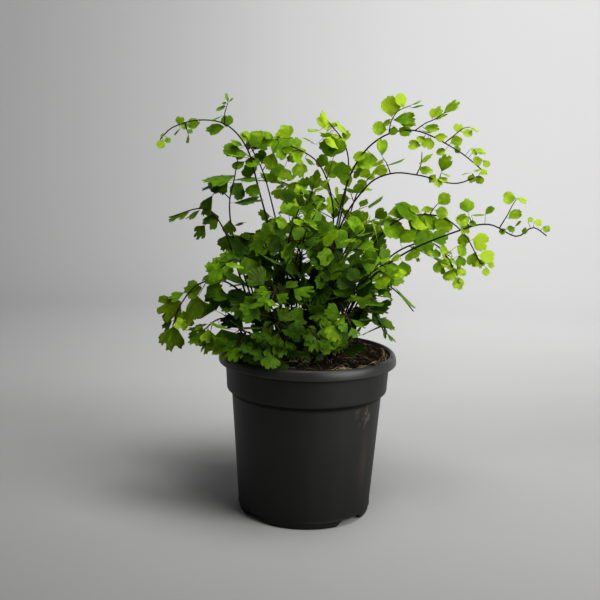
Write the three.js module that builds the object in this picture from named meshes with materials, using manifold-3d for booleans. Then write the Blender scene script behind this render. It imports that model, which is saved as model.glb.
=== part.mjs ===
// Potted maidenhair fern in a plastic nursery pot, in millimetres, +Z up.
// The origin is the middle of the pot's underside, +X points right and +Y away from the front.
import * as THREE from 'three';
import { mergeVertices } from 'three/addons/utils/BufferGeometryUtils.js';
import Module from 'manifold-3d';

const library = await Module();
library.setup();

const FIT_GAP = 0.3;
// A cut or join that leaves a shorter edge than this is made a little differently
const SHORTEST_EDGE = 0.012;
const FIT_SIZES = [1, 1.03, 1.06, 1.09, 1.12];

// Pot: a tapered body, a wider collar, and a rim that turns down outside it
const RIM_RADIUS = 60;
const POT_HEIGHT = 110;
const RIM_DROP = 6.8;
const RIM_HOLLOW_RADIUS = 58.8;
const RIM_INNER_RADIUS = 55.6;
const COLLAR_TOP_RADIUS = 55.3;
const COLLAR_FOOT_RADIUS = 54.2;
const COLLAR_FOOT_HEIGHT = 84.8;
const BODY_TOP_RADIUS = 50.8;
const BODY_TOP_HEIGHT = 81.8;
const FOOT_RADIUS = 44.8;
const WALL = 1.2;
const POT_SIDES = 40;

// Foot notches: four arches around the foot, each with a raised roof and a drain hole
const NOTCH_HEIGHT = 4.6;
const NOTCH_ROOF_WIDTH = 15;
const NOTCH_MOUTH_WIDTH = 24;
const NOTCH_INNER_RADIUS = 33;
const DRAIN_RADIUS = 3;
const DRAIN_CIRCLE = 38.5;
const NOTCH_TURNS = [0.25, 0.75, 1.25, 1.75];

// Soil: filled to just below the rim, a little higher in the middle
const SOIL_EDGE_HEIGHT = 107;
const SOIL_RISE = 2.4;
const SOIL_SIDES = 24;
const ROOT_DEPTH = 11;
const HOLE_RISE = 10;
const HOLE_SIDES = 5;

// Fronds: wiry stalks with sprays of cut, fan-shaped leaflets
const STIPE_RADIUS = 0.9;
const TIP_RADIUS = 0.75;
const STALK_STEP = 18;
const STALK_SIDES = 4;
const TWIG_RADIUS = 0.5;
const TWIG_STEP = 9;
const RIB_WIDTH = 0.6;
const BLADE_THICKNESS = 0.7;
const SINGLE_LOBE = 1.5;
const YOUNG_LOBES = 2;
const OLD_LOBES = 3;
const YOUNG_CUT = 0.78;
const OLD_CUT = 0.7;
const FAN_HALF_ANGLE = THREE.MathUtils.degToRad(54);
const SIDE_LEAFLET_ANGLE = THREE.MathUtils.degToRad(66);
// How much a frond faces to its own side and up, and the distance over which it faces outwards
const FACE_SIDE = 0.5;
const FACE_UP = 0.85;
const FACE_SPREAD = 250;
// Sprays leave the stalk at this angle in degrees, less so towards the tip, give or take a little
const SPRAY_ANGLE = 58;
const SPRAY_ANGLE_DROP = 14;
const SPRAY_ANGLE_SPREAD = 20;
// Share of the leafy part that the sprays take, and how a spray runs on and sags over its length
const SPRAY_SHARE = 0.96;
const SPRAY_RUN = 0.12;
const SPRAY_SAG = 0.18;
// How much shorter the sprays and smaller the leaflets are by the tip, and how sprays vary
const SPRAY_TAPER = 0.7;
const LEAFLET_TAPER = 0.38;
const REACH_LEAST = 0.75;
const REACH_RANGE = 0.5;
const OUT_SPREAD = 0.5;
const NORMAL_SPREAD = 0.8;
const MOST_SIDE_LEAFLETS = 2;
// Where the side leaflets stand on their rib, in shares of the room for each
const FIRST_SHARE = 0.75;
const LAST_SHARE = 0.9;
// Lowest size of a leaflet in its frond, and the range above it; and the end leaflets' sizes
const SIZE_LEAST = 0.78;
const SIZE_RANGE = 0.5;
const END_LEAFLET_SIZE = 1.1;
const TOP_LEAFLET_SIZE = 0.7;
const TOP_LEAFLET_STEM = 0.3;
// A leaflet tips to one side by up to half of this, and arches down across and along
const LEAFLET_TIP = 0.9;
const ARCH_ACROSS = 0.3;
const ARCH_ALONG = 0.1;
// Of every four sprays in turn, these are in the solid; the rest are too many for it
const SPRAYS_KEPT = [0, 3];
// Angles by which a spray may be swung round its stalk, in radians, to bend clear
const SWINGS = [0, 0.06, -0.06, 0.5, -0.5, 1, -1];
const LEAFLET_COLORS = [0x2f5c1e, 0x4d8a22, 0x86b42c];

// The front view in which single leaflets are placed: its eye, turn, and distance of its plane
const EYE = new THREE.Vector3(0, -600, 246.2);
const VIEW_TURN = new THREE.Quaternion().setFromEuler(new THREE.Euler(-0.1685, -0.0253, 0.0101, 'ZXY'));
const VIEW_LENGTH = 906.6;
const VIEW_MIDDLE = 300;
// A placed leaflet turns no further from its stem than this, in radians
const LARGEST_TURN = 1.9;
const SHORTEST_STEM = 0.9;
// This share of a frond's placed leaflets, the longest, are in the solid; the rest are too many for it
const PLACED_SHARE = 0.29;
// Shares of a stalk's step that are tried as the joint, and small draws of depth and tilt
const VIEW_SHARES = 6;
const TWIG_LEAN = 1.2;
const PLACED_DEPTH = 0.5;
const PLACED_TIP = 0.35;

// Each frond: route from the soil up, share of it where the leaflets start, number of sprays,
// length of the lowest spray, size of its leaflets, youth from 0 (dark) to 1 (fresh), facing side
const FRONDS = {
  high_left: { route: [[-10, 8, 103], [-13, 7, 130], [-23, 6, 174], [-35, 4, 216], [-43, 2, 243],
    [-56, -1, 258], [-73, -6, 261], [-90, -10, 256], [-98, -12, 248]],
    leafy: 0.62, sprays: 0, reach: 15, leaf: 6.5, youth: 0.74, side: -1 },
  upper_left: { route: [[-6, -4, 103], [-10, -3, 130], [-17, -2, 171], [-26, 2, 207],
    [-33, 6, 229], [-42, 8, 246]],
    leafy: 0.8, sprays: 4, reach: 20, leaf: 8.5, youth: 0.62, side: -1 },
  crown_left: { route: [[2, -8, 103], [7, -4, 130], [13, 0, 178], [14, 0, 208], [3, -4, 236],
    [-24, -8, 250]],
    leafy: 0.5, sprays: 3, reach: 22, leaf: 9, youth: 0.62, side: -1 },
  high_right: { route: [[7, 4, 103], [9, 6, 125], [15, 8, 180], [25, 10, 227], [42, 10, 251],
    [66, 7, 258], [94, 3, 246], [114, 0, 231]],
    leafy: 0.52, sprays: 0, reach: 24, leaf: 8, youth: 1.0, side: -1 },
  crown_top: { route: [[4, 16, 103], [6, 15, 130], [17, 16, 183], [24, 18, 228], [21, 16, 248],
    [10, 12, 262]],
    leafy: 0.55, sprays: 3, reach: 18, leaf: 7.5, youth: 0.85, side: -1 },
  arch_right: { route: [[12, -3, 103], [12, -4, 125], [17, -6, 187], [34, -10, 220],
    [50, -13, 230], [68, -15, 229.5], [90, -18, 225], [105, -20, 230]],
    leafy: 0.7, sprays: 0, reach: 15, leaf: 7, youth: 0.95, side: -1 },
  long_right: { route: [[16, -9, 103], [19, -10, 122], [36, -14, 157], [61, -20, 180],
    [95, -24, 196], [113, -24, 200], [130, -25, 193], [140, -26, 199], [149, -26, 194]],
    leafy: 0.42, sprays: 0, reach: 15, leaf: 7.5, youth: 0.9, side: -1 },
  droop_right: { route: [[14, 10, 103], [17, 12, 122], [29, 16, 155], [54, 20, 194], [82, 20, 202],
    [102, 14, 192], [115, 8, 171]],
    leafy: 0.42, sprays: 0, reach: 22, leaf: 9, youth: 0.95, side: -1 },
  mid_right: { route: [[19, 2, 103], [22, 3, 122], [34, 6, 150], [57, 10, 176], [80, 12, 184],
    [93, 10, 174], [98, 9, 163]],
    leafy: 0.4, sprays: 3, reach: 20, leaf: 9, youth: 0.85, side: -1 },
  low_right: { route: [[18, -17, 103], [21, -19, 120], [27, -23, 142], [36, -28, 160],
    [43, -31, 169], [49, -33, 167]],
    leafy: 0.38, sprays: 6, reach: 13, leaf: 10, youth: 0.42, side: -1 },
  spray_right: { route: [[22, -5, 103], [24, -6, 120], [30, -8, 138], [38, -10, 143],
    [45, -10, 136], [52, -8, 122]],
    leafy: 0.4, sprays: 0, reach: 10, leaf: 9.5, youth: 0.4, side: -1 },
  fork_right: { route: [[22, 10, 103], [25, 11, 120], [36, 14, 146], [48, 16, 155], [60, 16, 149],
    [72, 14, 136]],
    leafy: 0.42, sprays: 0, reach: 9, leaf: 9, youth: 0.6, side: -1 },
  mid_left: { route: [[-25, 6, 103], [-31, 5, 122], [-40, 3, 147], [-51, 0, 184], [-54, -2, 207],
    [-51, -2, 224], [-49, 0, 238]],
    leafy: 0.5, sprays: 0, reach: 19, leaf: 10.5, youth: 0.38, side: -1 },
  reach_left: { route: [[-30, 0, 103], [-34, -1, 122], [-46, -2, 158], [-57, -5, 190],
    [-70, -6, 204], [-93, -8, 198]],
    leafy: 0.42, sprays: 0, reach: 14, leaf: 9.5, youth: 0.36, side: -1 },
  droop_left: { route: [[-29, -6, 103], [-33, -7, 120], [-41, -10, 145], [-56, -16, 158],
    [-72, -20, 156], [-83, -22, 143], [-88, -24, 129]],
    leafy: 0.36, sprays: 1, reach: 17, leaf: 13.5, youth: 0.4, side: -1 },
  olive_left: { route: [[-27, -13, 103], [-30, -15, 122], [-36, -18, 148], [-41, -24, 166],
    [-48, -27, 174], [-57, -29, 168]],
    leafy: 0.36, sprays: 3, reach: 16, leaf: 12.5, youth: 0.42, side: -1 },
  rim_left: { route: [[-36, -12, 103], [-40, -16, 116], [-46, -21, 129], [-53, -25, 135],
    [-60, -29, 134], [-67, -32, 128]],
    leafy: 0.35, sprays: 3, reach: 11, leaf: 11.5, youth: 0.42, side: -1 },
  front_left: { route: [[-29, -20, 103], [-32, -26, 117], [-36, -34, 127], [-40, -41, 129],
    [-43, -47, 123]],
    leafy: 0.25, sprays: 6, reach: 12, leaf: 11, youth: 0.42, side: -1 },
  front_young: { route: [[-4, -28, 103], [-4, -31, 118], [-2, -33, 130], [4, -36, 138],
    [11, -41, 133]],
    leafy: 0.25, sprays: 0, reach: 10, leaf: 8, youth: 0.9, side: -1 },
  front_right: { route: [[6, -24, 103], [9, -27, 116], [12, -30, 127], [16, -33, 131],
    [20, -37, 127]],
    leafy: 0.25, sprays: 6, reach: 10, leaf: 10, youth: 0.4, side: -1 },
  base_left: { route: [[-22, -24, 103], [-24, -30, 117], [-25, -38, 132], [-21, -45, 136],
    [-15, -50, 129]],
    leafy: 0.2, sprays: 6, reach: 12, leaf: 10.5, youth: 0.4, side: -1 },
  base_mid: { route: [[-7, -21, 103], [-8, -27, 116], [-8, -36, 131], [-2, -45, 136],
    [6, -51, 129]],
    leafy: 0.2, sprays: 3, reach: 12, leaf: 10, youth: 0.45, side: -1 },
  front_rim: { route: [[-12, -30, 103], [-13, -34, 115], [-15, -40, 125], [-20, -46, 128],
    [-26, -51, 122]],
    leafy: 0.2, sprays: 5, reach: 11, leaf: 10, youth: 0.45, side: -1 },
  middle_a: { route: [[-16, -14, 103], [-17, -16, 125], [-18, -20, 155], [-14, -25, 186],
    [-8, -31, 207]],
    leafy: 0.38, sprays: 8, reach: 20, leaf: 9.5, youth: 0.6, side: -1 },
  middle_b: { route: [[-9, -12, 103], [-9, -14, 125], [-7, -20, 160], [-4, -28, 190],
    [2, -38, 204]],
    leafy: 0.38, sprays: 8, reach: 22, leaf: 9.5, youth: 0.7, side: -1 },
  middle_c: { route: [[8, -14, 103], [10, -17, 125], [15, -24, 155], [22, -32, 182],
    [32, -40, 196]],
    leafy: 0.38, sprays: 8, reach: 22, leaf: 9.5, youth: 0.7, side: -1 },
  middle_d: { route: [[-16, -3, 103], [-15, -4, 125], [-11, -6, 160], [-5, -9, 195], [1, -12, 222]],
    leafy: 0.45, sprays: 8, reach: 16, leaf: 9, youth: 0.65, side: -1 },
  middle_e: { route: [[14, -18, 103], [18, -22, 122], [27, -29, 150], [38, -37, 168],
    [49, -41, 177]],
    leafy: 0.38, sprays: 8, reach: 15, leaf: 9.5, youth: 0.6, side: -1 },
  front_mid: { route: [[-14, -22, 103], [-15, -26, 120], [-18, -36, 145], [-20, -50, 160],
    [-22, -66, 156]],
    leafy: 0.32, sprays: 4, reach: 18, leaf: 10.5, youth: 0.46, side: -1 },
  front_side: { route: [[3, -20, 103], [6, -26, 120], [13, -40, 142], [19, -56, 152],
    [25, -72, 142]],
    leafy: 0.32, sprays: 4, reach: 18, leaf: 10, youth: 0.48, side: -1 },
  back_high: { route: [[-2, 12, 103], [-3, 15, 130], [-8, 24, 180], [-14, 42, 214], [-24, 68, 221]],
    leafy: 0.5, sprays: 8, reach: 26, leaf: 9, youth: 0.8, side: 1 },
  back_right: { route: [[12, 18, 103], [15, 22, 128], [24, 36, 165], [36, 56, 191], [50, 78, 191]],
    leafy: 0.45, sprays: 8, reach: 26, leaf: 9, youth: 0.85, side: 1 },
  back_left: { route: [[-14, 18, 103], [-18, 22, 128], [-24, 40, 158], [-32, 62, 173],
    [-40, 86, 168]],
    leafy: 0.45, sprays: 8, reach: 24, leaf: 9, youth: 0.6, side: 1 },
  back_long: { route: [[2, 24, 103], [3, 30, 126], [6, 48, 162], [10, 74, 184], [14, 104, 180]],
    leafy: 0.42, sprays: 8, reach: 24, leaf: 9.5, youth: 0.6, side: 1 },
  back_low: { route: [[-8, 28, 103], [-12, 34, 120], [-22, 50, 142], [-34, 68, 146],
    [-44, 84, 130]],
    leafy: 0.36, sprays: 7, reach: 20, leaf: 11, youth: 0.35, side: 1 },
  back_side: { route: [[18, 24, 103], [22, 31, 120], [28, 48, 140], [33, 70, 145], [36, 92, 131]],
    leafy: 0.36, sprays: 7, reach: 20, leaf: 10.5, youth: 0.45, side: 1 },
  back_mid: { route: [[9, 8, 103], [12, 9, 130], [21, 17, 175], [30, 28, 212], [40, 38, 226]],
    leafy: 0.48, sprays: 8, reach: 24, leaf: 9, youth: 0.8, side: 1 },
};

// Leaflets placed one by one in the front view, and the side stalks that carry some of them:
// of each leaflet the foot's u and v, the heading, the length and the roll
const PLACED = {
  high_left: {
    twigs: [
      [[224, 125.5], [224.6, 114], [227.5, 104]],
      [[186, 126], [187, 130], [188.3, 134]],
    ],
    leaflets: [
      [226.5, 127, 88, 12.5, 0], [224.6, 127, 187, 18, 35], [221.4, 116, 200, 12, 70],
      [226, 106, 195, 10, 55], [228, 102, 97, 8.5, 60], [228.5, 102, 45, 6, 60],
      [226.5, 103, 178, 4.5, 50], [199.7, 123.4, 178, 11.5, 20], [189, 124.4, 195, 8, 10],
      [178.7, 124.4, 75, 8.5, 20], [187, 129.5, -30, 6, 30], [188.3, 134, -95, 9, 60],
      [180.6, 128.3, 220, 9, 60], [166.6, 137.2, -70, 6, 10], [163.4, 139.7, -120, 9, 10],
      [166, 133.5, 200, 6, 40],
    ],
  },
  upper_left: {
    twigs: [],
    leaflets: [
      [253, 147, 70, 17, 0], [239.3, 148.7, 180, 16, 20], [242.5, 146, 152, 12, 65],
      [247, 153.8, 185, 14, 35], [244.4, 161.4, 215, 13, 30], [252, 156.3, -85, 12.5, 0],
      [247, 137, 120, 6, 40],
    ],
  },
  crown_left: {
    twigs: [],
    leaflets: [
      [289, 138.5, 115, 15, 0], [259.7, 144.8, 25, 15, 20], [273.7, 152.5, -110, 17, 0],
      [306, 150, 195, 21, 15], [277.5, 138.5, -12, 18, 45], [305, 158, -35, 11, 50],
      [284, 168, -80, 12, 10], [298, 162, -75, 15, 20],
    ],
  },
  crown_top: {
    twigs: [],
    leaflets: [
      [341, 149, 172, 21, 30], [327.5, 131.5, 106, 18.5, 56], [326, 132, -47, 24, 52],
      [319.6, 130.5, 178, 12, 70], [330, 134, 175, 10, 75], [315.8, 144.8, 152, 14, 78],
      [347.7, 135.3, 130, 17, 65], [323.5, 169, 0, 16, 10],
    ],
  },
  high_right: {
    twigs: [
      [[388.8, 132.5], [391, 122], [397, 112], [404, 108], [411, 105.5]],
      [[415.6, 127.8], [425, 123.5], [433, 120], [441, 115], [446, 112]],
      [[445, 142], [451, 138], [457, 133], [463, 128.5], [470, 127]],
    ],
    leaflets: [
      [391.5, 116.8, 94, 19.4, 0], [403.6, 108, 105, 14.3, 30], [410.3, 105.4, 31, 11.7, 80],
      [410.3, 108, 18, 12.7, 78], [393.5, 120.2, 8, 21, 35], [398.2, 121, -12, 17, 45],
      [390.2, 119, -130, 9, 50], [386.8, 129.6, 170, 13.5, 10], [394.2, 126.2, -100, 9, 20],
      [399, 128.2, -25, 13, 40], [431.7, 118.2, 56, 14.5, 55], [435, 120.2, 25, 12.6, 78],
      [443.7, 113.5, 39, 19, 62], [423.7, 128.2, 3, 15, 60], [419.6, 129.6, -22, 11, 70],
      [427, 139.6, 172, 10, 50], [421, 145.6, 170, 12.5, 20], [430.4, 137.6, -110, 11.5, 0],
      [433.7, 137, 0, 12.7, 45], [445.8, 149.6, 195, 9.6, 40], [450.4, 143, 20, 12, 20],
      [455.8, 145.6, -60, 8, 10], [457.1, 132.9, 75, 10, 15], [461.8, 132.2, -5, 10.5, 30],
      [469.2, 126.9, -20, 10, 60], [471.2, 148.3, -35, 8.5, 50], [475.9, 148.3, -30, 11, 50],
      [482.6, 159.7, -170, 9.4, 5], [483.3, 160.4, -50, 8, 5], [378, 160, 180, 21, 35],
      [366, 152, -150, 14, 40],
    ],
  },
  arch_right: {
    twigs: [
      [[390, 171], [387, 164], [383, 158]],
      [[417, 173], [421, 164], [422, 152]],
    ],
    leaflets: [
      [382, 156, 90, 16.5, 35], [385.5, 165.7, 23, 19.6, 82], [419, 163.7, 40, 15.9, 80],
      [419, 167.7, -15, 14, 60], [441.7, 171.7, 72, 17.5, 25], [435.7, 174.4, -130, 9.5, 30],
      [441, 172.4, -20, 9.5, 65], [438.4, 178.4, -90, 8.5, 20], [437.7, 178.4, -5, 10, 45],
      [482.6, 169, 195, 8, 75], [482, 169, -60, 6.5, 10], [473.2, 173.7, -105, 9, 20],
      [480.6, 175.8, -100, 8, 25], [472, 172.4, 195, 9.5, 78],
    ],
  },
  long_right: {
    twigs: [
      [[503.3, 221.3], [508, 214], [511.5, 207], [516.5, 199]],
    ],
    leaflets: [
      [516, 198.5, 175, 13, 10], [516.7, 198, -18, 11, 55], [508.7, 218.6, 35, 14, 45],
      [485.3, 214.6, 45, 11, 50], [471.2, 215.3, 8, 13, 72], [468, 212.6, 95, 13.5, 15],
      [457, 217.3, 18, 8.7, 80], [470, 217.3, 200, 14, 25], [469.2, 222, -20, 8, 40],
      [461.8, 224.6, -45, 11, 20], [505.4, 228.7, -140, 7, 30], [506.7, 228, -5, 8.5, 45],
      [515.4, 226, 50, 7, 75], [528, 222, 45, 6, 20], [534, 221.3, -15, 8, 20],
      [543.5, 226.6, -40, 7, 10], [525.4, 227.3, -100, 7, 35],
    ],
  },
  droop_right: {
    twigs: [
      [[430.4, 212.6], [434, 208], [437.7, 204]],
    ],
    leaflets: [
      [437.7, 204, 38, 14.5, 0], [435.7, 210.6, -15, 12, 25], [421, 210.6, 12, 12, 50],
      [425, 212, -85, 15, 0], [446.4, 216.6, -105, 16, 0], [462.5, 232.7, -80, 13.5, 0],
      [472.5, 239.4, -15, 17, 10], [478.6, 255.4, -5, 15.5, 30], [476, 252, -110, 15, 15],
      [479.2, 258.8, -80, 9.5, 0], [487.3, 263.5, -20, 7.5, 10], [486, 266.8, -90, 9, 5],
      [419.6, 211, 160, 10, 45], [395, 204, -25, 26, 55], [388, 214, 12, 24, 50],
      [408, 221, -22, 21, 20], [412, 214, -48, 20, 40], [424, 215, -40, 18, 20],
      [384, 222, -38, 22, 40],
    ],
  },
  mid_right: {
    twigs: [],
    leaflets: [
      [457, 246, -35, 13, 30], [459, 255.4, -75, 11.5, 10], [438.4, 260.8, -85, 12, 10],
      [443.7, 267.5, -105, 7, 40], [445, 264.8, -20, 9, 35], [454.5, 267.5, -95, 9, 20],
      [461.2, 267.5, -85, 9, 20], [460, 278.2, -70, 5, 40], [435.7, 248.7, -90, 10, 10],
      [442.4, 243.4, -75, 12, 40], [429, 244.7, -85, 10, 20], [442.4, 252.8, -55, 10, 60],
      [451.8, 252.8, -90, 11, 75], [413, 246, -70, 6, 10], [415.6, 258.8, -20, 5, 20],
      [402.3, 261, -80, 15.5, 5], [388.8, 259.5, -90, 18.7, 5], [370, 259, -95, 26, 10],
      [412, 238, -12, 24, 30], [400, 243, 40, 20, 40], [432, 241, 25, 17, 30],
      [420, 243, 70, 17, 45],
    ],
  },
  mid_left: {
    twigs: [
      [[228.2, 198.4], [223.3, 192.7], [217, 191.4], [212.5, 195.2]],
    ],
    leaflets: [
      [236, 175, 197, 32, 58], [231, 176.5, 206, 30, 66], [228, 178, 226, 20, 40],
      [225, 181, 250, 14, 30], [235.5, 179.5, 3, 24, 66], [233, 203, 8, 29, 74],
      [212.5, 195.2, -120, 22, 48], [229.7, 220, -95, 15, 0], [234, 225.5, 10, 12, 78],
      [229, 234, -115, 18, 15], [229, 236, -50, 28, 10], [239, 235.4, 0, 13, 50],
    ],
  },
  reach_left: {
    twigs: [],
    leaflets: [
      [219, 216.3, 200, 17, 10], [204.8, 225.2, -125, 17, 50], [200, 210, 206, 16, 66],
      [189.5, 211.5, 204, 14, 64], [180.6, 214, 206, 14, 66], [214, 214.5, 214, 14, 60],
    ],
  },
  droop_left: {
    twigs: [],
    leaflets: [
      [221.4, 287, -110, 24, 0], [194.6, 293.4, -80, 24, 5], [202, 288.3, 185, 18, 20],
      [184.4, 292.7, 200, 17, 40], [180.6, 301, 218, 28, 10], [183, 311, -70, 18, 10],
      [175.5, 325.3, -105, 26, 0],
    ],
  },
  olive_left: {
    twigs: [],
    leaflets: [
      [240.6, 258.3, 195, 22, 15], [226.5, 280.6, 140, 25, 0], [244.4, 256.4, -70, 20, 5],
      [275, 239, 195, 27, 20],
    ],
  },
  spray_right: {
    twigs: [],
    leaflets: [
      [367, 304, -25, 22, 72], [372, 311, -60, 15, 60], [378, 318, -35, 20, 72],
      [384, 326, -75, 13, 58], [387, 333, -45, 12, 65], [362, 300, 20, 16, 70],
      [358, 306, -110, 14, 60],
    ],
  },
  fork_right: {
    twigs: [],
    leaflets: [
      [395, 287, -50, 29, 74], [376.5, 282.5, -52, 23, 66], [386, 281, 40, 14, 60],
      [372, 289, 30, 14, 60],
    ],
  },
  front_young: {
    twigs: [],
    leaflets: [
      [322, 331, 60, 14, 10], [316, 333, 150, 10, 10], [320, 340, 0, 21, 25],
      [322, 346, -40, 11, 20], [318, 354, -60, 8, 20], [299, 325, 92, 18, 45],
      [288, 324, 170, 10, 20], [299, 331, 175, 12, 25],
    ],
  },
  base_mid: {
    twigs: [],
    leaflets: [
      [295, 346, 165, 19, 15], [296, 349, 40, 10, 20], [292, 356, 200, 17, 50],
      [316, 339, -60, 15, 30],
    ],
  },
  rim_left: {
    twigs: [],
    leaflets: [
      [213.8, 335.5, 187, 22, 10], [221.4, 329, -75, 26, 0], [239.3, 319, 188, 20, 60],
      [234, 307, 190, 14, 60],
    ],
  },
};

const UP = new THREE.Vector3(0, 0, 1);

// A closed manifold-3d solid from a three.js geometry
function solid(geometry) {
  const loose = geometry.index ? geometry.toNonIndexed() : geometry;
  const bare = new THREE.BufferGeometry();
  bare.setAttribute('position', loose.getAttribute('position'));
  const merged = mergeVertices(bare, 1e-3);
  return new library.Manifold(new library.Mesh({
    numProp: 3,
    vertProperties: merged.attributes.position.array,
    triVerts: new Uint32Array(merged.index.array),
  }));
}

// A named three.js mesh, flat shaded, from a manifold-3d solid
function named(name, body, color, roughness) {
  const { vertProperties, triVerts } = body.getMesh();
  const indexed = new THREE.BufferGeometry();
  indexed.setAttribute('position', new THREE.BufferAttribute(vertProperties, 3));
  indexed.setIndex(new THREE.BufferAttribute(triVerts, 1));
  const geometry = indexed.toNonIndexed();
  geometry.computeVertexNormals();
  const mesh = new THREE.Mesh(geometry, new THREE.MeshStandardMaterial({ color, roughness, metalness: 0 }));
  mesh.name = name;
  return mesh;
}

function turned(profile, sides) {
  const points = profile.map(([radius, height]) => new THREE.Vector2(radius, height));
  return new THREE.LatheGeometry(points, sides).rotateX(Math.PI / 2);
}

function bodyRadius(height) {
  return THREE.MathUtils.mapLinear(height, 0, BODY_TOP_HEIGHT, FOOT_RADIUS, BODY_TOP_RADIUS);
}

function collarRadius(height) {
  const top = POT_HEIGHT - RIM_DROP;
  return THREE.MathUtils.mapLinear(height, COLLAR_FOOT_HEIGHT, top, COLLAR_FOOT_RADIUS, COLLAR_TOP_RADIUS);
}

// One notch's arch as a bar along the radius, from just under the pot; spread widens it all round
function notchBar(turn, spread, innerRadius, outerRadius) {
  const slant = (NOTCH_MOUTH_WIDTH - NOTCH_ROOF_WIDTH) / 2 / NOTCH_HEIGHT;
  const top = NOTCH_HEIGHT + spread;
  const bottom = -1;
  const roof = NOTCH_ROOF_WIDTH / 2 + 0.4 * spread;
  const mouth = roof + slant * (top - bottom);
  const arch = new THREE.Shape([
    new THREE.Vector2(-mouth, bottom),
    new THREE.Vector2(mouth, bottom),
    new THREE.Vector2(roof, top),
    new THREE.Vector2(-roof, top),
  ]);
  const bar = new THREE.ExtrudeGeometry(arch, { depth: outerRadius - innerRadius, bevelEnabled: false });
  bar.rotateX(Math.PI / 2).translate(0, -innerRadius, 0).rotateZ(turn * Math.PI);
  return solid(bar);
}

function drainHole(turn) {
  const drill = new THREE.CylinderGeometry(DRAIN_RADIUS, DRAIN_RADIUS, 3 * NOTCH_HEIGHT, 12);
  drill.rotateX(Math.PI / 2).translate(0, -DRAIN_CIRCLE, NOTCH_HEIGHT).rotateZ(turn * Math.PI);
  return solid(drill);
}

function makePot() {
  const rimFoot = POT_HEIGHT - RIM_DROP;
  const outside = [
    [0, 0],
    [FOOT_RADIUS - 2, 0],
    [FOOT_RADIUS - 0.4, 0.5],
    [bodyRadius(1.6), 1.6],
    [BODY_TOP_RADIUS, BODY_TOP_HEIGHT],
    [COLLAR_FOOT_RADIUS, COLLAR_FOOT_HEIGHT],
    [COLLAR_TOP_RADIUS, rimFoot],
  ];
  const rim = [
    [RIM_INNER_RADIUS + 1, POT_HEIGHT - WALL],
    [RIM_HOLLOW_RADIUS, POT_HEIGHT - WALL],
    [RIM_HOLLOW_RADIUS, rimFoot],
    [RIM_RADIUS, rimFoot],
    [RIM_RADIUS, POT_HEIGHT - 1],
    [RIM_RADIUS - 0.9, POT_HEIGHT],
    [RIM_INNER_RADIUS + 0.8, POT_HEIGHT],
    [RIM_INNER_RADIUS, POT_HEIGHT - 0.6],
  ];
  const inside = [
    [collarRadius(rimFoot) - WALL, rimFoot],
    [COLLAR_FOOT_RADIUS - WALL, COLLAR_FOOT_HEIGHT + 0.5],
    [BODY_TOP_RADIUS - WALL, BODY_TOP_HEIGHT + 0.5],
    [bodyRadius(2.6) - WALL, 2.6],
    [bodyRadius(2.6) - 2 * WALL, WALL + 0.2],
    [0, WALL + 0.2],
  ];
  const middleOfWall = bodyRadius(2 * NOTCH_HEIGHT) - WALL / 2;
  const core = solid(turned([
    [0, WALL / 2],
    [FOOT_RADIUS - WALL / 2, WALL / 2],
    [middleOfWall, 2 * NOTCH_HEIGHT],
    [0, 2 * NOTCH_HEIGHT],
  ], POT_SIDES));
  let pot = solid(turned([...outside, ...rim, ...inside], POT_SIDES));
  for (const turn of NOTCH_TURNS) {
    const shell = notchBar(turn, WALL, NOTCH_INNER_RADIUS - WALL, FOOT_RADIUS + 2);
    pot = pot.add(shell.intersect(core));
  }
  for (const turn of NOTCH_TURNS) {
    pot = pot.subtract(notchBar(turn, 0, NOTCH_INNER_RADIUS, RIM_RADIUS));
    pot = pot.subtract(drainHole(turn));
  }
  return pot;
}

// Low lumps of the soil's surface
function soilLumps(x, y) {
  return 0.7 * Math.sin(0.31 * x + 1.3) * Math.cos(0.27 * y) + 0.5 * Math.sin(0.53 * y - 0.22 * x);
}

function makeSoil() {
  const wallGap = WALL + FIT_GAP;
  const edge = collarRadius(SOIL_EDGE_HEIGHT) - wallGap;
  const profile = [
    [0, WALL + 0.2 + FIT_GAP],
    [bodyRadius(3) - WALL - wallGap, WALL + 0.2 + FIT_GAP],
    [bodyRadius(3) - wallGap - 0.1, 3],
    [BODY_TOP_RADIUS - wallGap, BODY_TOP_HEIGHT + 0.8],
    [COLLAR_FOOT_RADIUS - wallGap, COLLAR_FOOT_HEIGHT + 0.8],
    [edge, SOIL_EDGE_HEIGHT],
    [0.75 * edge, SOIL_EDGE_HEIGHT + 0.5 * SOIL_RISE],
    [0.4 * edge, SOIL_EDGE_HEIGHT + 0.9 * SOIL_RISE],
    [0, SOIL_EDGE_HEIGHT + SOIL_RISE],
  ];
  const form = turned(profile, SOIL_SIDES);
  const place = form.getAttribute('position');
  for (let i = 0; i < place.count; i++) {
    if (place.getZ(i) > SOIL_EDGE_HEIGHT + 0.1) {
      place.setZ(i, place.getZ(i) + soilLumps(place.getX(i), place.getY(i)));
    }
  }
  let soil = solid(form);
  for (const turn of NOTCH_TURNS) {
    const room = notchBar(turn, WALL + FIT_GAP, NOTCH_INNER_RADIUS - wallGap, RIM_RADIUS);
    soil = soil.subtract(room);
  }
  return soil;
}

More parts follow.
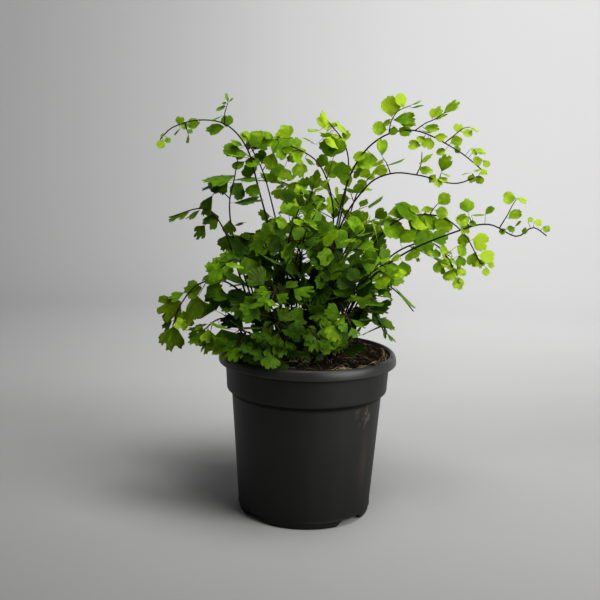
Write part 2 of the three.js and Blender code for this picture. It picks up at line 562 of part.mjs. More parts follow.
// A thin rod along a path, three or more sides, narrowing from its first radius to its last
function rod(path, steps, firstRadius, lastRadius, sides) {
  const corners = [];
  for (let i = 0; i < sides; i++) {
    const angle = 2 * Math.PI * (i + 0.5) / sides;
    const corner = new THREE.Vector2(Math.cos(angle), Math.sin(angle)).multiplyScalar(firstRadius);
    corners.push(corner);
  }
  const section = new THREE.Shape(corners);
  const form = new THREE.ExtrudeGeometry(section, { steps, extrudePath: path, bevelEnabled: false });
  const middles = path.getSpacedPoints(steps);
  const place = form.getAttribute('position');
  const point = new THREE.Vector3();
  for (let i = 0; i < place.count; i++) {
    point.fromBufferAttribute(place, i);
    const distances = middles.map((middle) => middle.distanceTo(point));
    const nearest = distances.indexOf(Math.min(...distances));
    const radius = THREE.MathUtils.lerp(firstRadius, lastRadius, nearest / steps);
    point.sub(middles[nearest]).setLength(radius).add(middles[nearest]);
    place.setXYZ(i, point.x, point.y, point.z);
  }
  return form;
}

// A repeatable number from 0 to 1 for each set of keys
function draw(a, b, c = 0) {
  const wave = Math.sin(a * 12.9898 + b * 78.233 + c * 37.719) * 43758.5453;
  return wave - Math.floor(wave);
}

// A flat view of one leaflet's fan: each lobe's tip follows a cut, and hand mirrors the order
function fanRim(leaflet, margin) {
  const steps = 2 * leaflet.lobes - 1;
  const half = FAN_HALF_ANGLE + margin / leaflet.size;
  const rim = [];
  for (let i = 0; i <= steps; i++) {
    const angle = leaflet.turn + half * (2 * i / steps - 1);
    const tip = (leaflet.hand > 0 ? i : steps - i) % 2;
    const radius = leaflet.size * (tip ? 1 : leaflet.cut) + margin;
    rim.push(new THREE.Vector2(
      leaflet.foot.x + radius * Math.cos(angle),
      leaflet.foot.y + radius * Math.sin(angle),
    ));
  }
  return rim;
}

// How far a leaflet's point stands off the blade's plane: each leaflet tips and arches by itself
function lift(point, leaflets) {
  for (const leaflet of leaflets) {
    const reach = point.clone().sub(leaflet.foot);
    const sideways = THREE.MathUtils.euclideanModulo(reach.angle() - leaflet.turn + Math.PI, 2 * Math.PI)
      - Math.PI;
    if (reach.length() > RIB_WIDTH && Math.abs(sideways) < FAN_HALF_ANGLE + 0.2) {
      const across = Math.sin(sideways);
      return reach.length() * (leaflet.tip * across - ARCH_ACROSS * across * across - ARCH_ALONG);
    }
  }
  return 0;
}

// One spray: a thin arched blade whose outline is cut into leaflets down to its rib
function sprayBlade(spray, margin) {
  const half = RIB_WIDTH / 2 + margin;
  const outline = [new THREE.Vector2(-margin, -half)];
  const [end, ...others] = spray.leaflets;
  const below = others.filter((leaflet) => leaflet.turn < 0);
  const above = others.filter((leaflet) => leaflet.turn > 0);
  for (const leaflet of below) {
    outline.push(new THREE.Vector2(leaflet.foot.x - half, -half));
    outline.push(...fanRim(leaflet, margin));
    outline.push(new THREE.Vector2(leaflet.foot.x + half, -half));
  }
  if (spray.length > SHORTEST_STEM) {
    outline.push(new THREE.Vector2(spray.length, -half));
  }
  outline.push(...fanRim(end, margin));
  if (spray.length > SHORTEST_STEM) {
    outline.push(new THREE.Vector2(spray.length, half));
  }
  for (const leaflet of above.reverse()) {
    outline.push(new THREE.Vector2(leaflet.foot.x + half, half));
    outline.push(...fanRim(leaflet, margin));
    outline.push(new THREE.Vector2(leaflet.foot.x - half, half));
  }
  outline.push(new THREE.Vector2(-margin, half));
  const depth = BLADE_THICKNESS + 2 * margin;
  const form = new THREE.ExtrudeGeometry(new THREE.Shape(outline), { depth, bevelEnabled: false });
  const place = form.getAttribute('position');
  for (let i = 0; i < place.count; i++) {
    const flat = new THREE.Vector2(place.getX(i), place.getY(i));
    const share = THREE.MathUtils.clamp(flat.x / spray.length, 0, 1);
    const point = spray.start.clone()
      .addScaledVector(spray.out, flat.x)
      .addScaledVector(spray.across, flat.y)
      .addScaledVector(spray.normal, place.getZ(i) - depth / 2 + lift(flat, spray.leaflets))
      .addScaledVector(spray.bend, share * share);
    place.setXYZ(i, point.x, point.y, point.z);
  }
  return solid(form);
}

// The leaflets of a spray: the end one first, then those on its two sides, starting on side away
function sprayLeaflets(frond, key, length, size, sides, away) {
  const old = frond.youth < 0.5;
  const leaflet = (k, foot, turn, scale) => ({
    foot,
    turn,
    size: size * scale * (SIZE_LEAST + SIZE_RANGE * draw(key + k, 5)),
    tip: LEAFLET_TIP * (draw(key + k, 6) - 0.5),
    hand: draw(key + k, 7) - 0.5,
    lobes: old ? OLD_LOBES : YOUNG_LOBES,
    cut: old ? OLD_CUT : YOUNG_CUT,
  });
  const leaflets = [leaflet(9, new THREE.Vector2(length, 0), 0, END_LEAFLET_SIZE)];
  for (let k = 0; k < sides; k++) {
    const way = k % 2 ? -away : away;
    const place = length * (k + FIRST_SHARE) / (sides + LAST_SHARE);
    const foot = new THREE.Vector2(place, way * RIB_WIDTH / 2);
    leaflets.push(leaflet(k, foot, way * SIDE_LEAFLET_ANGLE, 1));
  }
  return leaflets;
}

// The direction that a frond's leaflets face: up, outwards, and to its own side
function facing(frond) {
  const middle = frond.route.reduce((sum, point) => sum + point[0], 0) / frond.route.length;
  return new THREE.Vector3(middle / FACE_SPREAD, FACE_SIDE * frond.side, FACE_UP).normalize();
}

// A stalk's path, whose section stays square to the way that the frond faces
class StalkPath extends THREE.CurvePath {
  constructor(face) {
    super();
    this.face = face;
  }

  computeFrenetFrames(steps) {
    const frames = { tangents: [], normals: [], binormals: [] };
    for (let i = 0; i <= steps; i++) {
      const tangent = this.getTangentAt(i / steps);
      const normal = tangent.clone().cross(this.face).normalize();
      frames.tangents.push(tangent);
      frames.normals.push(normal);
      frames.binormals.push(tangent.clone().cross(normal));
    }
    return frames;
  }
}

// A frond's stalk, from its buried foot to its tip, with the joints of its straight steps
function layOutStalk(frond) {
  const route = new THREE.CatmullRomCurve3(
    frond.route.map((point) => new THREE.Vector3(...point)), false, 'catmullrom', 0.5);
  const [crown, next] = route.points;
  const foot = crown.clone().sub(next).setLength(ROOT_DEPTH).add(crown);
  const path = new StalkPath(facing(frond));
  path.add(new THREE.LineCurve3(foot, crown));
  path.add(route);
  const steps = Math.ceil(path.getLength() / STALK_STEP);
  const joints = path.getSpacedPoints(steps);
  const body = solid(rod(path, steps, STIPE_RADIUS, TIP_RADIUS, STALK_SIDES));
  return { route, path, foot, crown, next, joints, body };
}

// The point of the stalk's straight steps at a share of the route above the soil
function onStalk(stalk, share) {
  const whole = stalk.path.getLength();
  const passed = (ROOT_DEPTH + share * stalk.route.getLength()) / whole * (stalk.joints.length - 1);
  const before = Math.min(Math.floor(passed), stalk.joints.length - 2);
  return stalk.joints[before].clone().lerp(stalk.joints[before + 1], passed - before);
}

// The point that the front view shows at u to the right and v down, at depth y
function fromView(u, v, y) {
  const ray = new THREE.Vector3(u - VIEW_MIDDLE, VIEW_LENGTH, VIEW_MIDDLE - v).applyQuaternion(VIEW_TURN);
  return ray.multiplyScalar((y - EYE.y) / ray.y).add(EYE);
}

// How far a point shows from u and v in the front view
function viewDistance(point, u, v) {
  const seen = point.clone().sub(EYE).applyQuaternion(VIEW_TURN.clone().invert());
  const scale = VIEW_LENGTH / seen.y;
  return Math.hypot(VIEW_MIDDLE + scale * seen.x - u, VIEW_MIDDLE - scale * seen.z - v);
}

// The carrier's point that shows nearest to u and v; a carrier is a run of straight steps
function nearestPoint(carriers, u, v) {
  const points = carriers.flatMap((joints) => joints.slice(1).flatMap((joint, i) => {
    const shares = [...Array(VIEW_SHARES).keys()].map((share) => (share + 0.5) / VIEW_SHARES);
    return shares.map((share) => joints[i].clone().lerp(joint, share));
  }));
  const distances = points.map((point) => viewDistance(point, u, v));
  return points[distances.indexOf(Math.min(...distances))];
}

// A side stalk through points of the front view, from the main stalk's nearest point
function layOutTwig(stalk, points) {
  const start = nearestPoint([stalk.joints], ...points[0]);
  const through = points.slice(1).map(([u, v], i) => fromView(u, v, start.y - TWIG_LEAN * (i + 1)));
  const path = new StalkPath(new THREE.Vector3(0, -1, 0.1).normalize());
  path.add(new THREE.CatmullRomCurve3([start, ...through], false, 'catmullrom', 0.5));
  return { path, steps: Math.ceil(path.getLength() / TWIG_STEP) };
}

// A leaflet placed in the front view, with the stem that joins it to the nearest carrier.
// Its blade runs along heading and is rolled up about it, both in degrees; swing turns it besides
function placedSpray(frond, key, carriers, [u, v, heading, length, roll], swing) {
  const start = nearestPoint(carriers, u, v);
  const along = THREE.MathUtils.degToRad(heading);
  const rolled = THREE.MathUtils.degToRad(roll);
  const aim = new THREE.Vector3(Math.cos(along), PLACED_DEPTH * (draw(key, 8) - 0.5), Math.sin(along));
  aim.normalize().applyQuaternion(VIEW_TURN);
  const toEye = new THREE.Vector3(0, -1, 0).applyQuaternion(VIEW_TURN);
  toEye.addScaledVector(aim, -toEye.dot(aim)).normalize();
  const raised = aim.clone().cross(toEye);
  raised.multiplyScalar(raised.z < 0 ? -1 : 1);
  const normal = toEye.multiplyScalar(Math.cos(rolled)).addScaledVector(raised, Math.sin(rolled));
  const stem = fromView(u, v, start.y).sub(start);
  stem.addScaledVector(normal, -stem.dot(normal));
  const reach = Math.max(stem.length(), SHORTEST_STEM);
  const out = stem.length() < SHORTEST_STEM ? aim.clone() : stem.normalize();
  const across = normal.clone().cross(out);
  const turn = Math.atan2(aim.dot(across), aim.dot(out));
  const old = frond.youth < 0.5;
  for (const direction of [out, normal, across]) {
    direction.applyAxisAngle(aim, swing);
  }
  return {
    start,
    out,
    normal,
    across,
    length: reach,
    bend: new THREE.Vector3(),
    leaflets: [{
      foot: new THREE.Vector2(reach, 0),
      turn: THREE.MathUtils.clamp(turn, -LARGEST_TURN, LARGEST_TURN),
      size: length * (start.y - EYE.y) / VIEW_LENGTH,
      tip: PLACED_TIP * (draw(key, 6) - 0.5),
      hand: draw(key, 7) - 0.5,
      lobes: old ? OLD_LOBES : SINGLE_LOBE,
      cut: old ? OLD_CUT : YOUNG_CUT,
    }],
  };
}

// The place, directions and leaflets of one spray; swing turns it round the stalk
function sprayAt(frond, index, stalk, order, swing) {
  const key = 100 * index + 10 * order;
  const far = (order + 0.5) / frond.sprays;
  const share = frond.leafy + (1 - frond.leafy) * SPRAY_SHARE * far;
  const face = facing(frond);
  const ahead = stalk.route.getTangentAt(share);
  const beside = ahead.clone().cross(face).normalize().multiplyScalar(order % 2 ? 1 : -1);
  const spread = SPRAY_ANGLE_SPREAD * (draw(index, order, 1) - 0.5);
  const angle = THREE.MathUtils.degToRad(SPRAY_ANGLE - SPRAY_ANGLE_DROP * far + spread);
  const out = ahead.clone().multiplyScalar(Math.cos(angle))
    .addScaledVector(beside, Math.sin(angle))
    .addScaledVector(face, OUT_SPREAD * (draw(index, order, 2) - 0.5))
    .normalize();
  const normal = new THREE.Vector3(draw(key, 1) - 0.5, draw(key, 2) - 0.5, draw(key, 3) - 0.5)
    .multiplyScalar(NORMAL_SPREAD)
    .add(face);
  out.applyAxisAngle(ahead, swing);
  normal.applyAxisAngle(ahead, swing).addScaledVector(out, -normal.dot(out)).normalize();
  const varied = REACH_LEAST + REACH_RANGE * draw(index, order, 3);
  const length = frond.reach * (1 - SPRAY_TAPER * far) * varied;
  const size = frond.leaf * (1 - LEAFLET_TAPER * far);
  const across = normal.clone().cross(out);
  const away = across.dot(ahead) < 0 ? 1 : -1;
  const sides = Math.min(MOST_SIDE_LEAFLETS, Math.floor(length / size));
  return {
    start: onStalk(stalk, share),
    out,
    normal,
    across,
    length,
    bend: ahead.clone().multiplyScalar(SPRAY_RUN * length).addScaledVector(UP, -SPRAY_SAG * length),
    leaflets: sprayLeaflets(frond, key, length, size, sides, away),
  };
}

// The end leaflet, straight on from the stalk's tip
function tipSpray(frond, index, stalk, swing) {
  const out = stalk.route.getTangentAt(1);
  const normal = facing(frond).applyAxisAngle(out, swing);
  normal.addScaledVector(out, -normal.dot(out)).normalize();
  const length = TOP_LEAFLET_STEM * frond.leaf;
  const size = TOP_LEAFLET_SIZE * frond.leaf;
  return {
    start: onStalk(stalk, 1).addScaledVector(out, -0.5),
    out,
    normal,
    across: normal.clone().cross(out),
    length,
    bend: new THREE.Vector3(),
    leaflets: sprayLeaflets(frond, 100 * index + 90, length, size, 0, 1),
  };
}

function boundsOf(body) {
  const vertices = new THREE.BufferAttribute(body.getMesh().vertProperties, 3);
  return new THREE.Box3().setFromBufferAttribute(vertices);
}

function shortestEdge(body) {
  const { vertProperties, triVerts } = body.getMesh();
  const vertices = new THREE.BufferAttribute(vertProperties, 3);
  const [from, to] = [new THREE.Vector3(), new THREE.Vector3()];
  let shortest = Infinity;
  for (let i = 0; i < triVerts.length; i++) {
    const next = i % 3 === 2 ? i - 2 : i + 1;
    from.fromBufferAttribute(vertices, triVerts[i]);
    to.fromBufferAttribute(vertices, triVerts[next]);
    shortest = Math.min(shortest, from.distanceTo(to));
  }
  return shortest;
}

function meets(body, box, others) {
  return others.some((other) => other.box.intersectsBox(box)
    && other.body.intersect(body).getMesh().triVerts.length > 0);
}

const pot = makePot();
const fullSoil = makeSoil();
const stalks = Object.values(FRONDS).map(layOutStalk);

// Each stalk stands in a plain hole in the soil
let soil = fullSoil;
for (const stalk of stalks) {
  const down = stalk.crown.clone().sub(stalk.next).normalize();
  const bottom = stalk.foot.clone().addScaledVector(down, FIT_GAP);
  const top = stalk.crown.clone().addScaledVector(down, -HOLE_RISE);
  const around = (STIPE_RADIUS + FIT_GAP) / Math.cos(Math.PI / HOLE_SIDES);
  const cuts = FIT_SIZES.map((size) => soil.subtract(
    solid(rod(new THREE.LineCurve3(bottom, top), 1, size * around, size * around, HOLE_SIDES))));
  soil = cuts.find((cut) => shortestEdge(cut) > SHORTEST_EDGE) ?? cuts[0];
}

// Solids that stand already, with the number of the frond that each belongs to
const standing = [pot, soil, ...stalks.map((stalk) => stalk.body)]
  .map((body, order) => ({ body, box: boundsOf(body), owner: order - 2 }));

// The frond's solid with a side stalk fused on, at the first thickness that joins it cleanly
function withTwig(body, twig, owner) {
  const forms = FIT_SIZES.map((size) => {
    const radius = size * TWIG_RADIUS;
    return solid(rod(twig.path, twig.steps, radius, radius, STALK_SIDES));
  });
  const form = forms.find((tried) => shortestEdge(body.add(tried)) > SHORTEST_EDGE) ?? forms[0];
  standing.push({ body: form, box: boundsOf(form), owner });
  return body.add(form);
}

// The frond's solid with a spray fused on, at the first swing that is clear of every other piece
function withSpray(body, makeSpray, owner) {
  const others = standing.filter((other) => other.owner !== owner);
  for (const swing of SWINGS) {
    const spray = makeSpray(swing);
    const room = sprayBlade(spray, FIT_GAP);
    if (meets(room, boundsOf(room), others)) continue;
    const blade = sprayBlade(spray, 0);
    const grown = body.add(blade);
    if (shortestEdge(grown) > SHORTEST_EDGE) {
      standing.push({ body: blade, box: boundsOf(blade), owner });
      return grown;
    }
  }
  return body;
}

function frondColor(youth) {
  const [old, middle, young] = LEAFLET_COLORS.map((color) => new THREE.Color(color));
  return youth < 0.5 ? old.lerp(middle, 2 * youth) : middle.lerp(young, 2 * youth - 1);
}

// A frond's solid: its stalk, with an end leaflet and sprays fused to it
function makeFrond(name, frond, index) {
  const stalk = stalks[index];
  const { twigs, leaflets } = PLACED[name] ?? { twigs: [], leaflets: [] };
  const carriers = [stalk.joints];
  let { body } = stalk;
  for (const points of twigs) {
    const twig = layOutTwig(stalk, points);
    carriers.push(twig.path.getSpacedPoints(twig.steps));
    body = withTwig(body, twig, index);
  }
  const lengths = leaflets.map(([, , , length]) => length).sort((a, b) => b - a);
  const least = lengths[Math.ceil(PLACED_SHARE * lengths.length) - 1];
  for (const [k, leaflet] of leaflets.entries()) {
    const [, , , length] = leaflet;
    if (length >= least) {
      const key = 100 * index + 50 + k;
      body = withSpray(body, (swing) => placedSpray(frond, key, carriers, leaflet, swing), index);
    }
  }
  body = withSpray(body, (swing) => tipSpray(frond, index, stalk, swing), index);
  for (let order = 0; order < frond.sprays; order++) {
    if (SPRAYS_KEPT.includes(order % 4)) {
      body = withSpray(body, (swing) => sprayAt(frond, index, stalk, order, swing), index);
    }
  }
  return named(`frond_${name}`, body, frondColor(frond.youth), 0.55);
}

const fronds = Object.entries(FRONDS).map(([name, frond], index) => makeFrond(name, frond, index));

const group = new THREE.Group();
group.add(named('pot', pot, 0x33363b, 0.45));
group.add(named('soil', soil, 0x2a1f18, 0.95));
group.add(...fronds);

export default group;
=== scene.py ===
import bpy
import numpy as np
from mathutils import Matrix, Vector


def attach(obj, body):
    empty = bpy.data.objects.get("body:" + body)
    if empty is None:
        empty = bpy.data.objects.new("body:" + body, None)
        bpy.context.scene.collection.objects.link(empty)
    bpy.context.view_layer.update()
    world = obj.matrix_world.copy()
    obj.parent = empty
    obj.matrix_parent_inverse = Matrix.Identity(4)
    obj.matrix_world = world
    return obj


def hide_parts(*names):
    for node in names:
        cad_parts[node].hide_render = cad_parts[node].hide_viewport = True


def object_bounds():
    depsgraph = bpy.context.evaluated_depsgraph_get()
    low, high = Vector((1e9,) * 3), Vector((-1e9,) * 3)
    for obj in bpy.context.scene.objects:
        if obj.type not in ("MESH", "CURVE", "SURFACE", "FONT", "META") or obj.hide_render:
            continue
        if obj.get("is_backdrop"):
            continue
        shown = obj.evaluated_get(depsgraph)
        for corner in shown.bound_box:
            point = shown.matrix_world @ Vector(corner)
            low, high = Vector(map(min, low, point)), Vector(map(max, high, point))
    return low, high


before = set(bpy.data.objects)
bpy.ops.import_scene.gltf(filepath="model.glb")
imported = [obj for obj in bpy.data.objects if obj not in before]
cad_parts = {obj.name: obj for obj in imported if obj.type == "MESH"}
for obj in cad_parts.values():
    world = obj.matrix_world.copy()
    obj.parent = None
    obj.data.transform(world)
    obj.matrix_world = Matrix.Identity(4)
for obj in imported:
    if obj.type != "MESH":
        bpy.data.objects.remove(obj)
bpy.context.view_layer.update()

# Camera: in front of the pot at the height of the foliage, looking a little down.
# It is a plain camera of short-telephoto length, with no shift and no blur.
CAMERA_PLACE = np.array([0.0, -0.600, 0.2462])
PITCH, YAW, ROLL = 0.1685, -0.0101, -0.0253
SENSOR_WIDTH, LENS = 36, 54.39

level_right = np.array([np.cos(YAW), -np.sin(YAW), 0])
level_ahead = np.array([np.sin(YAW), np.cos(YAW), 0])
camera_ahead = np.cos(PITCH) * level_ahead - np.array([0, 0, np.sin(PITCH)])
level_up = np.sin(PITCH) * level_ahead + np.array([0, 0, np.cos(PITCH)])
camera_right = np.cos(ROLL) * level_right - np.sin(ROLL) * level_up
camera_up = np.sin(ROLL) * level_right + np.cos(ROLL) * level_up
camera_data = bpy.data.cameras.new("camera")
camera_data.sensor_width = SENSOR_WIDTH
camera_data.lens = LENS
camera = bpy.data.objects.new("camera", camera_data)
camera_matrix = np.eye(4)
camera_matrix[:3, :4] = np.stack([camera_right, camera_up, -camera_ahead, CAMERA_PLACE], 1)
camera.matrix_world = camera_matrix.T
bpy.context.collection.objects.link(camera)
bpy.context.scene.camera = camera
bpy.context.scene.view_settings.view_transform = "Standard"


# Studio: a wide pale floor that sweeps up all round into a low wall, painted matt, with painted light and
# shade graded over it.
# A round sheet, turned from one profile. Soft lights hang to the right, above, and at the wall behind.
MM = 0.001
FLOOR_RADIUS, BEND_RADIUS = 850, 650
WALL_TOP, SHEET_WIDTH, SHEET_DEPTH = 1300, 60, 20
FLOOR_SIDES = 96
# Places and levels of the painted light and shade on the floor, over 2 m from the front to the back and from
# left to right
DEPTH_PAINTED_LIGHT = [(0.12, 0.25), (0.26, 0.42), (0.38, 0.48), (0.6, 0.42)]
WIDTH_PAINTED_LIGHT = [(0.2, 0.80), (0.48, 1.0), (0.6, 1.0), (0.8, 0.87)]


class Value:
    """A socket in an expression: each operator adds a Math node, also with a number on its left."""

    def __init__(self, surface, socket):
        self.surface, self.socket = surface, socket

    def math(self, operation, first, second=0.0, clamp=False):
        settings = {"operation": operation, "use_clamp": clamp}
        return self.surface.node("ShaderNodeMath", settings, {0: first, 1: second})

    def __add__(self, other):
        return self.math("ADD", self, other)

    def __sub__(self, other):
        return self.math("SUBTRACT", self, other)

    def __rsub__(self, other):
        return self.math("SUBTRACT", other, self)

    def __mul__(self, other):
        return self.math("MULTIPLY", self, other)

    __radd__ = __add__
    __rmul__ = __mul__

    def sine(self):
        return self.math("SINE", self)

    def clamped(self):
        return self.math("ADD", self, 0.0, True)


class Surface:
    """A node material; node() adds any node, with its settings first and then its sockets."""

    def __init__(self, name):
        self.material = bpy.data.materials.new(name)
        self.material.use_nodes = True
        self.tree = self.material.node_tree
        self.tree.nodes.clear()

    def node(self, kind, settings, sockets, output=0):
        made = self.tree.nodes.new(kind)
        for key, value in settings.items():
            if key == "stops":
                ramp = made.color_ramp
                while len(ramp.elements) < len(value):
                    ramp.elements.new(1.0)
                for element, (place, color) in zip(ramp.elements, value):
                    element.position = place
                    element.color = (*color, 1.0)
            else:
                setattr(made, key, value)
        for key, value in sockets.items():
            if isinstance(value, Value):
                self.tree.links.new(value.socket, made.inputs[key])
            elif isinstance(value, tuple) and len(value) == 3 and made.inputs[key].type == "RGBA":
                made.inputs[key].default_value = (*value, 1.0)
            else:
                made.inputs[key].default_value = value
        return Value(self, made.outputs[output])

    def place(self):
        return self.node("ShaderNodeTexCoord", {}, {}, "Object")

    def axis(self, name, vector=None):
        """One coordinate of a vector, or of the place on the object."""
        return self.node("ShaderNodeSeparateXYZ", {}, {0: vector or self.place()}, name)

    def attribute(self, name):
        return self.node("ShaderNodeAttribute", {"attribute_name": name}, {}, "Fac")

    def stretched(self, scale):
        settings = {"operation": "MULTIPLY"}
        return self.node("ShaderNodeVectorMath", settings, {0: self.place(), 1: scale})

    def distance(self, vector, middle):
        settings = {"operation": "DISTANCE"}
        return self.node("ShaderNodeVectorMath", settings, {0: vector, 1: middle}, "Value")

    def noise(self, vector, scale, detail=3.0, roughness=0.5):
        sockets = {"Vector": vector, "Scale": scale, "Detail": detail, "Roughness": roughness}
        return self.node("ShaderNodeTexNoise", {}, sockets, "Fac")

    def ramp(self, value, stops):
        return self.node("ShaderNodeValToRGB", {"stops": stops}, {"Fac": value})

    def blend(self, factor, first, second, mode="MIX"):
        settings = {"data_type": "RGBA", "blend_type": mode}
        return self.node("ShaderNodeMix", settings, {0: factor, 6: first, 7: second}, 2)

    def bump(self, height, strength, distance):
        sockets = {"Height": height, "Strength": strength, "Distance": distance}
        return self.node("ShaderNodeBump", {}, sockets)

    def finish(self, shader):
        output = self.tree.nodes.new("ShaderNodeOutputMaterial")
        self.tree.links.new(shader.socket, output.inputs["Surface"])
        return self.material

    def principled(self, sockets):
        return self.node("ShaderNodeBsdfPrincipled", {}, sockets)


def grid_quads(rows, columns, closed=True):
    """Quads between neighbouring rows and columns of vertices; closed joins the last column to the first."""
    row = np.arange(rows - 1)[:, None] * columns
    column = np.arange(columns if closed else columns - 1)[None, :]
    after = (column + 1) % columns
    corners = [row + column, row + after, row + columns + after, row + columns + column]
    return np.stack(corners, -1).reshape(-1, 4)


def turned(radius, height, sides):
    """Surface of revolution: each profile point goes round the axis at its radius and height.

    The first and last points lie on the axis and become one vertex each."""
    turn = np.linspace(0, 2 * np.pi, sides, endpoint=False)
    ring = np.stack([np.sin(turn), -np.cos(turn)], -1)
    flat = radius[1:-1, None, None] * ring[None]
    rise = np.broadcast_to(height[1:-1, None, None], (*flat.shape[:2], 1))
    rows = len(radius) - 2
    body = np.concatenate([flat, rise], -1).reshape(-1, 3)
    poles = np.array([[0, 0, height[0]], [0, 0, height[-1]]])
    quads = grid_quads(rows, sides)
    side = np.arange(sides)
    after = (side + 1) % sides
    first, last = rows * sides, rows * sides + 1
    under = np.stack([after, side, np.full(sides, first)], -1)
    over = np.stack([side, after, np.full(sides, last - (rows - 1) * sides)], -1) + (rows - 1) * sides
    return np.concatenate([body, poles]), quads.tolist() + under.tolist() + over.tolist()


def piece(name, vertices, faces, material, crease=np.pi):
    """A smooth mesh object at the origin from vertices in millimetres, sharp where faces turn by crease."""
    mesh = bpy.data.meshes.new(name)
    mesh.from_pydata((np.asarray(vertices) * MM).tolist(), [], faces)
    mesh.polygons.foreach_set("use_smooth", np.ones(len(faces), bool))
    mesh.set_sharp_from_angle(angle=crease)
    mesh.materials.append(material)
    made = bpy.data.objects.new(name, mesh)
    bpy.context.collection.objects.link(made)
    return made


def greys(shades):
    """Ramp stops from places and single shades."""
    return [(place, (shade, shade, shade)) for place, shade in shades]


def studio_paint():
    """Matt grey with painted light: palest behind the pot, with painted shade deeper to the front and the
    sides.

    A ramp over the depth of the floor times one over its width, both wavered by a slow noise."""
    surface = Surface("studio_paint")
    cloud = surface.noise(surface.place(), 3.0) * 0.03
    # Painted light and shade: ramps over the floor's depth and width darken and lighten its colour
    depth = surface.ramp(surface.axis("Y") * 0.5 + 0.2 + cloud, greys(DEPTH_PAINTED_LIGHT))
    width = surface.ramp(surface.axis("X") * 0.5 + 0.5 + cloud, greys(WIDTH_PAINTED_LIGHT))
    color = surface.blend(1.0, depth, width, "MULTIPLY")
    return surface.finish(surface.principled({
        "Base Color": color, "Roughness": 0.95, "Specular IOR Level": 0.1}))


bend = np.linspace(0, np.pi / 2, 16)
wall_radius = FLOOR_RADIUS + BEND_RADIUS
sweep_radius = np.concatenate([
    [0, 200, 500], FLOOR_RADIUS + BEND_RADIUS * np.sin(bend),
    [wall_radius, wall_radius + SHEET_WIDTH, wall_radius + SHEET_WIDTH, 900, 0]])
sweep_height = np.concatenate([
    [0, 0, 0], BEND_RADIUS * (1 - np.cos(bend)),
    [WALL_TOP, WALL_TOP, -SHEET_DEPTH, -SHEET_DEPTH, -SHEET_DEPTH]])
floor = piece("floor", *turned(sweep_radius[::-1], sweep_height[::-1], FLOOR_SIDES), studio_paint())
floor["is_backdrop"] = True


def soft_light(name, place, target, size, power, color):
    """A round area light that faces its target."""
    data = bpy.data.lights.new(name, "AREA")
    data.shape = "DISK"
    data.size = size
    data.energy = power
    data.color = color
    light = bpy.data.objects.new(name, data)
    light.location = place
    aim = np.array(target) - np.array(place)
    light.rotation_euler = (
        float(np.arctan2(np.hypot(aim[0], aim[1]), -aim[2])), 0, float(np.arctan2(-aim[0], aim[1])))
    bpy.context.collection.objects.link(light)


soft_light("light_right", (0.76, -0.54, 0.52), (0, 0, 0.17), 0.85, 11.5, (1.0, 0.995, 0.98))
soft_light("light_over", (0.16, -0.16, 0.9), (0.02, 0, 0.20), 0.4, 5.5, (1.0, 1.0, 0.99))
soft_light("light_wall", (0.50, 0.55, 0.85), (0.26, 1.45, 0.50), 0.5, 15, (1.0, 1.0, 1.0))
world = bpy.data.worlds.new("studio")
world.use_nodes = True
world.node_tree.nodes["Background"].inputs["Color"].default_value = (0.98, 0.99, 1.0, 1.0)
world.node_tree.nodes["Background"].inputs["Strength"].default_value = 0.14
bpy.context.scene.world = world


# Pot: a round nursery pot of dark grey plastic, moulded in one thin wall.
# A tapered body, a step out to the collar, a rim turned down outside, and four arched notches
# in the foot, each with a raised roof and a drain hole. One profile is turned, its foot is lifted
# over the notches, and the holes are drilled. All sizes are in millimetres.
RIM_RADIUS, POT_HEIGHT, RIM_FOOT = 60.0, 110.0, 103.2
FOOT_RADIUS, BODY_TOP_RADIUS, BODY_TOP = 44.8, 50.8, 81.8
COLLAR_FOOT_RADIUS, COLLAR_TOP_RADIUS, COLLAR_FOOT = 54.2, 55.3, 84.8
WALL = 1.2
NOTCH_HEIGHT, NOTCH_ROOF, NOTCH_MOUTH, NOTCH_INNER = 4.6, 7.5, 12.0, 33.0
NOTCH_TURNS = np.pi * np.array([0.25, 0.75, 1.25, 1.75])
NOTCH_PART = 7.0
DRAIN_RADIUS, DRAIN_CIRCLE = 3.0, 38.5
DRILL_FOOT, DRILL_TOP, DRILL_SIDES = -2, 9, 32
HOLE_CREASE = np.radians(70)
POT_FLOOR = 1.4
POT_SIDES = 288
WALL_LEVELS = np.array([1.6, 2.2, 2.8, 3.4, 4.0, 4.4, 4.8, 5.6, 7, 10, 16, 26, 38, 50, 62, 72, 79, 81.2])
# The rim's edge from its lower lip over the top, as steps inward from its radius and down from its top
RIM_EDGE = [(1.2, 6.4), (1.05, 6.7), (0.7, 6.8), (0.25, 6.75), (0.05, 6.45), (0, 5.8), (0.07, 4.6),
            (0.25, 3.4), (0.55, 2.3), (0.95, 1.4), (1.5, 0.65), (2.2, 0.15), (3, 0), (3.7, 0.2),
            (4.2, 0.6), (4.5, 1.2), (4.6, 1.8)]


def body_radius(height):
    """Outer radius of the tapered body, in proportion to the height."""
    return FOOT_RADIUS + (BODY_TOP_RADIUS - FOOT_RADIUS) * height / BODY_TOP


def notch_lift(points, spread):
    """Height of the notch roofs over each point: full over the middle, sloping down to both sides."""
    turn = np.arctan2(points[:, 0], -points[:, 1])
    radius = np.hypot(points[:, 0], points[:, 1])
    lift = np.zeros(len(points))
    for notch in NOTCH_TURNS:
        off = turn - notch
        across = np.abs(radius * np.sin(off))
        slope = (NOTCH_MOUTH + spread - across) / (NOTCH_MOUTH - NOTCH_ROOF)
        here = (np.cos(off) > 0) & (radius * np.cos(off) > NOTCH_INNER - spread)
        lift = np.maximum(lift, here * (NOTCH_HEIGHT + spread) * np.clip(slope, 0, 1))
    return lift


